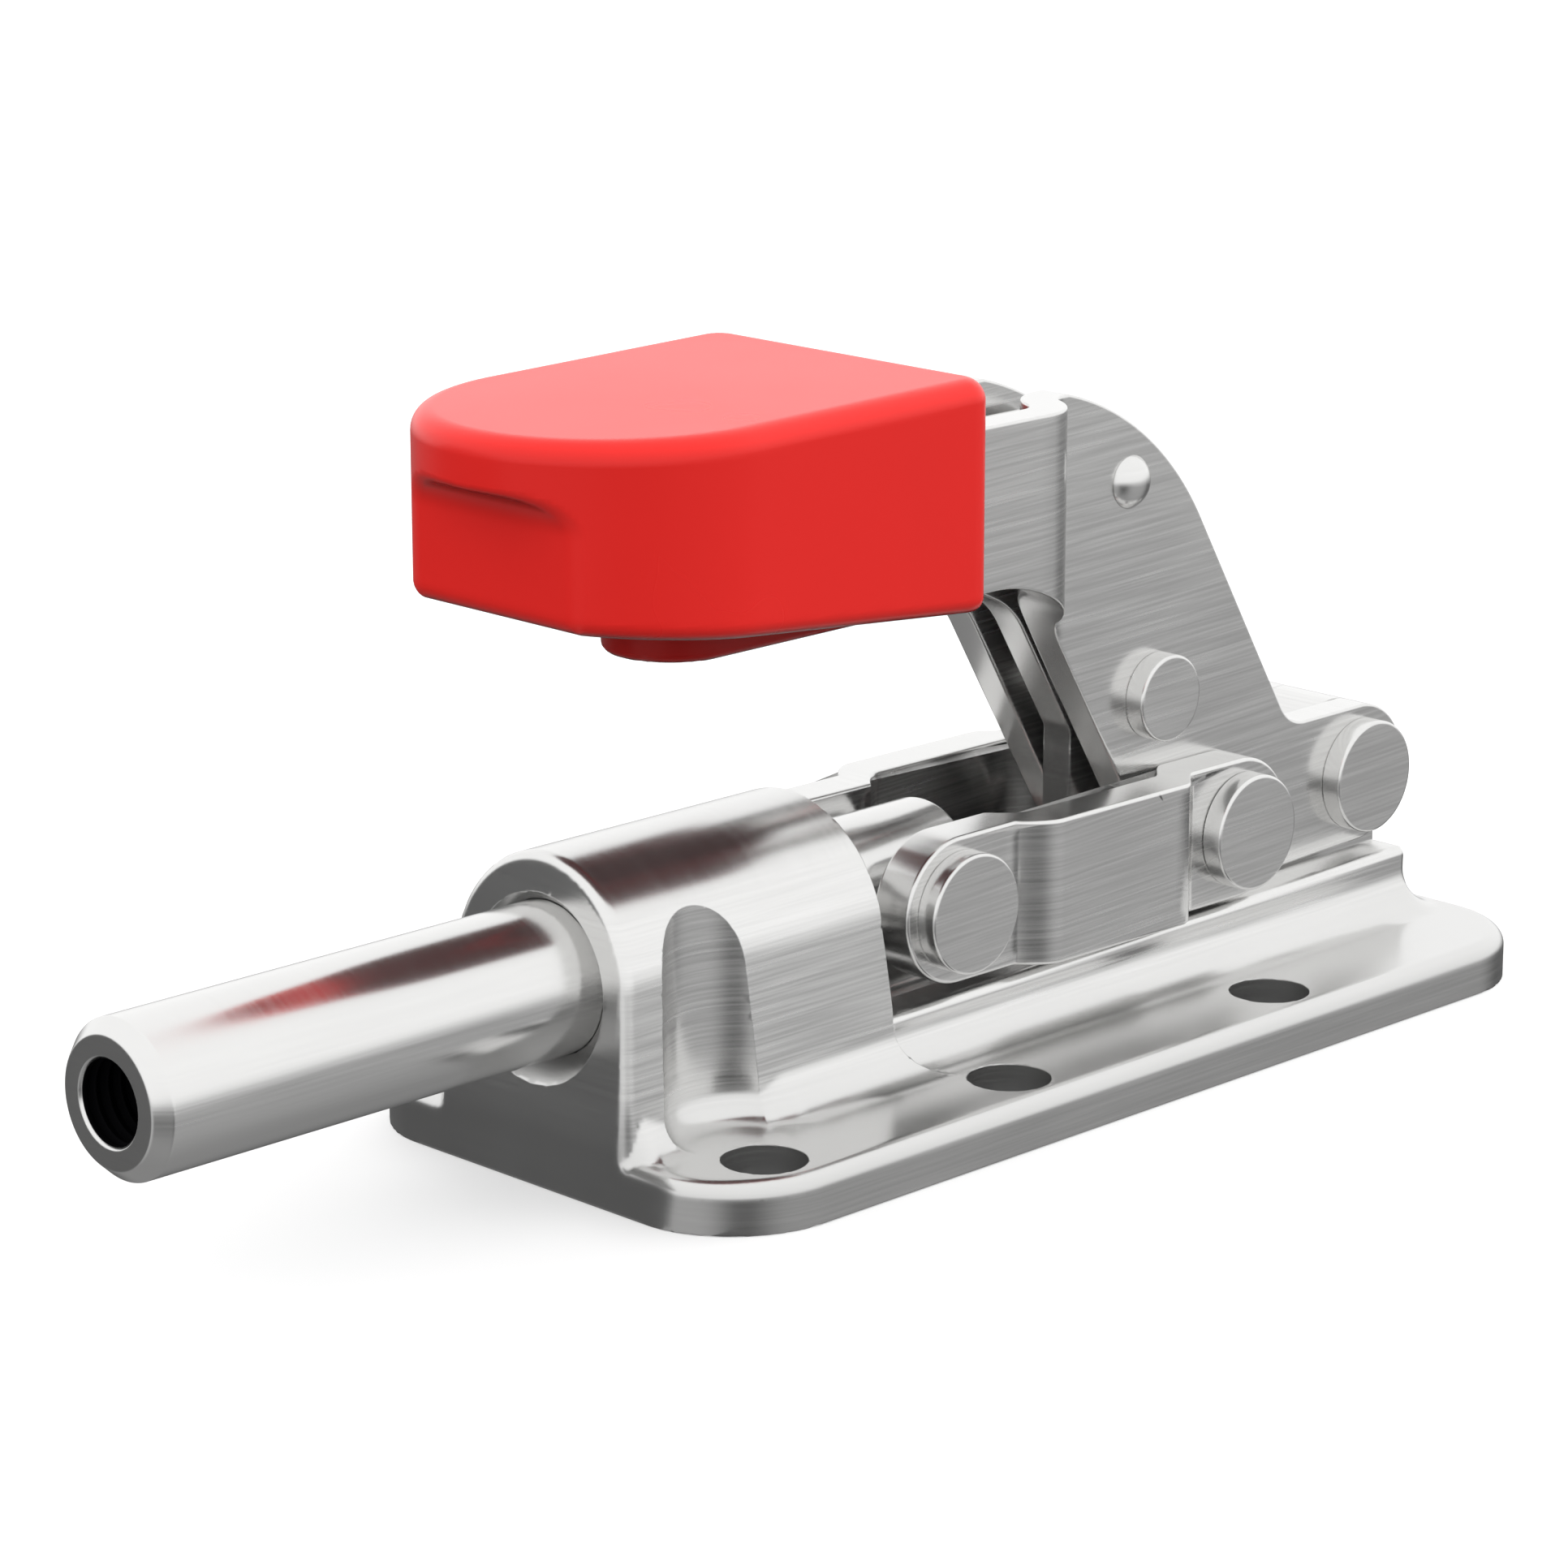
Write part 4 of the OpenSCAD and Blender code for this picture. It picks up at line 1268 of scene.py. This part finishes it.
@dataclass
class Lever:
    """The lever: two plates that step outwards towards the grip, and a plate between them.

    The tongue inside the grip is given by its front and by its least and greatest height.
    """

    pivot: Point = BASE_PIN
    toggle: Point = TOGGLE_PIN
    ear_radius: float = 9.6
    elbow_radius: float = 10.3
    lean: float = 31.1
    top: float = 86.0
    back_centre: Point = (13.6, 43.8)
    back_radius: float = 43.7
    notch_radius: float = 6.0
    arch_top: float = 65.1
    arch_radius: float = 22.5
    arch_x: float = 4.2
    tongue: Triple = (-38.0, 71.0, 84.0)
    grip_rear: float = -3.6
    grip_overlap: float = 1.0
    notch_overlap: float = 0.05
    inner: float = 4.85
    thickness: float = 4.85
    joggle: float = 7.0
    joggle_angle: float = 68.0
    joggle_front: float = 13.7
    centre_half: float = 2.4
    centre_top: float = 82.0
    centre_inset: float = 1.5
    centre_front: float = 34.1
    centre_bend_z: float = 39.2
    centre_arch: Point = (14.7, 48.2)
    centre_arch_radius: float = 11.9
    arm: Point = (9.0, 64.0)
    pin_holes: tuple[Triple, ...] = (
        (*TOGGLE_PIN, 4.77), (*LEVER_PIN, 3.52), (*RIVET, 2.42))
    pivot_hole: Triple = (*BASE_PIN, 4.77)

    def back_edge(self, top: float, inset: float) -> list[Point]:
        """The curved back of a plate, from its top down to the straight slope."""
        radius = self.back_radius - inset
        start = math.degrees(math.asin((top - self.back_centre[1]) / radius))
        return arc(self.back_centre, radius, start, self.lean, 28)

    def plate_outline(self) -> list[Point]:
        """Side outline of a lever plate, counter-clockwise."""
        lean = math.radians(self.lean)
        ear_top = self.pivot[1] + self.ear_radius - self.notch_overlap
        notch_z = ear_top + self.notch_radius
        reach = self.back_radius + self.notch_radius
        rise = (notch_z - self.back_centre[1]) * math.sin(lean)
        notch_x = self.back_centre[0] + (reach - rise) / math.cos(lean)
        front, low, high = self.tongue
        start = self.grip_rear - self.grip_overlap
        clockwise = (
            [(front, low), (front, high), (start, high), (start, self.top)]
            + self.back_edge(self.top, 0)
            + arc((notch_x, notch_z), self.notch_radius, 180 + self.lean, 270, 10)
            + arc(self.pivot, self.ear_radius, 86, -88, 40)
            + arc(self.toggle, self.elbow_radius, 268, 180 + self.lean, 20)
            + arc((self.arch_x, self.arch_top - self.arch_radius), self.arch_radius,
                  self.lean, 90, 24)
            + [(start, self.arch_top), (start, low)])
        return clockwise[::-1]

    def centre_outline(self) -> list[Point]:
        """Side outline of the centre plate, counter-clockwise."""
        front = self.tongue[0]
        clockwise = (
            [(front, self.arm[1]), (front, self.centre_top)]
            + self.back_edge(self.centre_top, self.centre_inset)
            + arc(self.toggle, self.elbow_radius, self.lean, -90, 20)
            + [(self.centre_front, self.toggle[1] - self.elbow_radius),
               (self.centre_front, self.centre_bend_z)]
            + arc(self.centre_arch, self.centre_arch_radius, self.lean, 65, 12)
            + [self.arm])
        return clockwise[::-1]

    def stand_out(self, x: Array, offset: float) -> Array:
        """Distance of a lever plate's face from the plane of its inner face at the rear.

        Args:
            x: Places along the clamp.
            offset: Which face: minus or plus half of the thickness from the middle of the plate.

        Returns:
            Distances outwards.
        """
        angle = math.radians(self.joggle_angle)
        bend = self.joggle / (2 * (1 - math.cos(angle)))
        half = self.thickness / 2
        front_r, rear_r = bend + offset, bend - offset
        rear_x = self.joggle_front + 2 * bend * math.sin(angle)
        split = self.joggle_front + front_r * math.sin(angle)
        u, w = np.clip(x - self.joggle_front, 0, None), np.clip(rear_x - x, 0, None)
        front = self.joggle + half - bend + np.sqrt(np.maximum(front_r ** 2 - u ** 2, 0))
        rear = half + bend - np.sqrt(np.maximum(rear_r ** 2 - w ** 2, 0))
        return np.where(x < split, front, rear)

    def build(self) -> None:
        """Makes the lever's three plates."""
        half = self.thickness / 2
        build_pair("lever_side", "lever_plate", Body.LEVER, self.plate_outline(),
                   (lambda x: self.inner + self.stand_out(x, half),
                    lambda x: self.inner + self.stand_out(x, -half)),
                   holes=[*self.pin_holes, self.pivot_hole], edge=0.35,
                   bends=[(12.5, 25.5)], bend_step=0.25)
        middle = Plate("lever_middle", self.centre_outline(),
                       lambda x: np.full_like(x, -self.centre_half),
                       lambda x: np.full_like(x, self.centre_half),
                       holes=self.pin_holes, edge=0.35).build()
        settle(middle, PLATE_FINISH, Body.LEVER, "centre_plate")


@dataclass
class Grip:
    """The moulded grip, with a lip round its front and a boss under it."""

    half_width: float = 24.2
    rear: float = -3.6
    nose_x: float = -43.9
    top: float = 94.0
    top_slope: float = 0.017
    bottom: float = 65.0
    bottom_slope: float = 0.09
    lip_t: float = 6.8
    lip_reach: float = 4.4
    lip_blend: float = 4.2
    corner: float = 4.4
    top_edge: float = 2.8
    bottom_edge: float = 2.0
    crease: float = 0.9
    boss_bottom: float = 62.0
    boss_front: float = -43.7
    boss_radius: float = 8.5
    boss_edge: float = 1.0
    boss_fillet: float = 0.6
    boss_inset: float = 0.5
    boss_root: float = 10.0

    def field(self, p: Array) -> Array:
        """Distance to the grip.

        Args:
            p: Points, one row for each axis.

        Returns:
            Signed distances.
        """
        x, y, z = p
        side = np.abs(y)
        nose = self.nose_x - self.half_width
        square = round_meet(side - self.half_width, x - self.rear, self.corner)
        plan = np.where(x < self.nose_x, np.hypot(x - self.nose_x, y) - self.half_width, square)
        lip_z = self.top + self.top_slope * (nose - self.rear) - self.lip_t
        face = round_join(nose + self.lip_reach - x, lip_z - z, self.lip_blend)
        body = round_meet(plan, face, self.crease)
        top = z - self.top - self.top_slope * (x - self.rear)
        bottom = self.bottom - self.bottom_slope * (x - self.rear) - z
        body = round_meet(round_meet(body, top, self.top_edge), bottom, self.bottom_edge)
        centre = self.boss_front + self.boss_radius
        boss_plan = np.where(x < centre, np.hypot(x - centre, y), side) - self.boss_radius
        boss_plan = np.maximum(boss_plan, x - self.rear + self.boss_inset)
        boss = round_meet(boss_plan, self.boss_bottom - z, self.boss_edge)
        boss = np.maximum(boss, z - self.top + self.boss_root)
        return round_join(body, boss, self.boss_fillet)

    def build(self) -> None:
        """Makes the grip."""
        # The grid reaches past the grip. Its lines stand closer at edges, lip and boss
        xs = graded(self.nose_x - self.half_width - 1.3, self.rear + 1.3, 0.62, 0.45,
                    [(-8, -3), (-70, -60)])
        half = self.half_width + 1.27
        ys = graded(-half, half, 0.62, 0.45, [(-25.5, -21), (21, 26)])
        zs = graded(self.boss_bottom - 1.1, self.top + 1.5, 0.6, 0.45, [(61, 68), (90, 96)])
        points, quads, normals = surface_net(self.field, (xs, ys, zs))
        settle(new_object("grip_moulding", points, quads, normals), GRIP_FINISH, Body.LEVER, "grip")


# Studio

@dataclass(frozen=True)
class Patch:
    """A patch of the studio with a soft edge, which bright metal reflects."""

    towards: Triple
    radiance: float
    core: float
    rim: float


@dataclass(frozen=True)
class Studio:
    """The camera, the floor and the soft light."""

    camera_place: Triple = (-438.706, -424.061, 205.554)
    azimuth: float = -44.8999
    elevation: float = 15.3448
    lens: float = 115.10
    sensor: float = 36.0
    floor_half: float = 6000.0
    floor_z: float = -0.05
    floor_tone: float = 0.66
    floor_dim: float = 0.06
    floor_glow: float = 0.28
    # A faintly glowing sheet of painted shade under the base, seen only in reflections
    gap_low: Point = (-57, -32)
    gap_high: Point = (93, 32)
    gap_z: float = -0.04
    gap_glow: float = 0.12
    lamp_aim: Triple = (0, 0, 30)
    lamp_radiance: float = 1.3
    world_light: float = 1.35
    overhead: float = 1.2
    underfoot: float = 0.12
    horizon: Span = (-0.26, 0.07)
    shade: Patch = Patch((-0.7, 0.7, -0.16), 0.11, 16, 32)
    patches: tuple[Patch, ...] = (
        Patch((0.0, 0.0, -1.0), 0.3, 34, 62),
        Patch((-0.94, 0.0, -0.34), 0.52, 8, 48),
        Patch((0.42, -0.81, -0.40), 0.42, 10, 54))

    def build_camera(self) -> None:
        """Places the camera where the photograph was taken."""
        data = bpy.data.cameras.new("camera")
        data.lens, data.sensor_width, data.sensor_fit = self.lens, self.sensor, "HORIZONTAL"
        data.clip_start, data.clip_end = 0.02, 50
        camera = linked("camera", data)
        a, e = math.radians(self.azimuth), math.radians(self.elevation)
        back = Vector((math.sin(a) * math.cos(e), -math.cos(a) * math.cos(e), math.sin(e)))
        camera.location = Vector(self.camera_place) * MM
        camera.rotation_euler = (-back).to_track_quat("-Z", "Y").to_euler()
        bpy.context.scene.camera = camera

    @staticmethod
    def build_sheet(name: str, finish: str, low: Point, high: Point,
                    z: float) -> tuple[Piece, Graph]:
        """Lays a level sheet with an empty material.

        Args:
            name: Name of the sheet.
            finish: Name of its material.
            low: Its least X and Y, in millimetres.
            high: Its greatest X and Y, in millimetres.
            z: Its height, in millimetres.

        Returns:
            The sheet and its material's tree.
        """
        corners = [(*low, z), (high[0], low[1], z), (*high, z), (low[0], high[1], z)]
        sheet = new_object(name, np.array(corners), [(0, 1, 2, 3)])
        material = bpy.data.materials.new(finish)
        sheet.data.materials.append(material)
        return sheet, Graph.of(material)

    def build_floor(self) -> None:
        """Makes the pale floor, white to the camera and less bright as a light from below."""
        h = self.floor_half
        floor, g = self.build_sheet("floor", "floor_white", (-h, -h), (h, h), self.floor_z)
        path = g.add("ShaderNodeLightPath").outputs
        seen = g.math("MAXIMUM", path["Is Camera Ray"], path["Is Transmission Ray"])
        matt = g.add("ShaderNodeBsdfDiffuse", {
            "Color": g.spread(seen, 0.0, 1.0, self.floor_dim, self.floor_tone)})
        glow = g.add("ShaderNodeEmission", {
            "Color": (1, 1, 1, 1), "Strength": g.math("MULTIPLY", seen, self.floor_glow)})
        g.surface("ShaderNodeAddShader", {0: matt.outputs[0], 1: glow.outputs[0]})
        floor.visible_glossy = False

    def build_gap(self) -> None:
        """Makes a sheet of painted shade under the base, which glows faintly and which the walls of
        the bolt holes reflect.
        """
        gap, g = self.build_sheet("gap", "gap_dark", self.gap_low, self.gap_high, self.gap_z)
        # Painted shade: a faint glow in place of the floor's shadow under the base, for reflections
        # only
        g.surface("ShaderNodeEmission", {"Color": (1, 1, 1, 1), "Strength": self.gap_glow})
        gap.visible_camera = gap.visible_shadow = gap.visible_diffuse = False

    def build_lamp(self, name: str, place: Sequence[float], size: Point) -> None:
        """Hangs a soft box that faces the clamp and that no metal reflects.

        Args:
            name: Name of the lamp.
            place: Its middle, in millimetres.
            size: Its width and height, in millimetres.
        """
        data = bpy.data.lights.new(name, "AREA")
        data.shape, data.size, data.size_y = "RECTANGLE", size[0] * MM, size[1] * MM
        data.energy = self.lamp_radiance * math.pi * data.size * data.size_y
        lamp = linked(name, data)
        lamp.location = Vector(place) * MM
        way = Vector(self.lamp_aim) - Vector(place)
        lamp.rotation_euler = way.to_track_quat("-Z", "Y").to_euler()
        lamp.visible_camera = lamp.visible_glossy = False

    @staticmethod
    def add_patch(g: Graph, way: Socket, below: object, patch: Patch) -> Socket:
        """Lays a patch over what the metal reflects.

        Args:
            g: The world's tree.
            way: The direction looked in.
            below: Strength of what the patch covers.
            patch: The patch.

        Returns:
            Strength with the patch.
        """
        near = g.add("ShaderNodeVectorMath", {0: way, 1: Vector(patch.towards).normalized()},
                     operation="DOT_PRODUCT").outputs["Value"]
        share = g.spread(near, math.cos(math.radians(patch.rim)),
                         math.cos(math.radians(patch.core)), interpolation_type="SMOOTHSTEP")
        return g.blend(share, below, patch.radiance)

    def build_world(self) -> None:
        """Surrounds the scene with white light, and gives metal a studio to reflect."""
        world = bpy.data.worlds.new("studio")
        bpy.context.scene.world = world
        g = Graph.of(world)
        way = g.add("ShaderNodeTexCoord").outputs["Generated"]
        mirrored = self.underfoot
        for patch in self.patches:
            mirrored = self.add_patch(g, way, mirrored, patch)
        sky = g.spread(g.axes(way)["Z"], *self.horizon, interpolation_type="SMOOTHSTEP")
        mirrored = g.blend(sky, mirrored, self.overhead)
        mirrored = self.add_patch(g, way, mirrored, self.shade)
        path = g.add("ShaderNodeLightPath").outputs
        seen = g.math("MAXIMUM", path["Is Camera Ray"], path["Is Transmission Ray"])
        plain = g.spread(seen, 0.0, 1.0, self.world_light, 1.0)
        g.surface("ShaderNodeBackground", {
            "Color": (1, 1, 1, 1), "Strength": g.blend(path["Is Glossy Ray"], plain, mirrored)},
            output="ShaderNodeOutputWorld")

    def build(self) -> None:
        """Sets the studio up."""
        bpy.context.scene.view_settings.view_transform = "Standard"
        self.build_camera()
        self.build_world()
        self.build_floor()
        self.build_gap()
        self.build_lamp("back_box", (950, 750, 620), (1300, 1000))
        self.build_lamp("front_box", (950, -600, 640), (1200, 900))


def main() -> None:
    """Builds the studio and every part of the clamp, in order."""
    logging.basicConfig(level=logging.INFO, format="%(name)s: %(message)s")
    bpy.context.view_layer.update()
    Studio().build()
    for part in (BaseCasting(), TurnedPieces(Turning()), Links(), Lever(), Grip()):
        part.build()


if __name__ == "__main__":
    main()
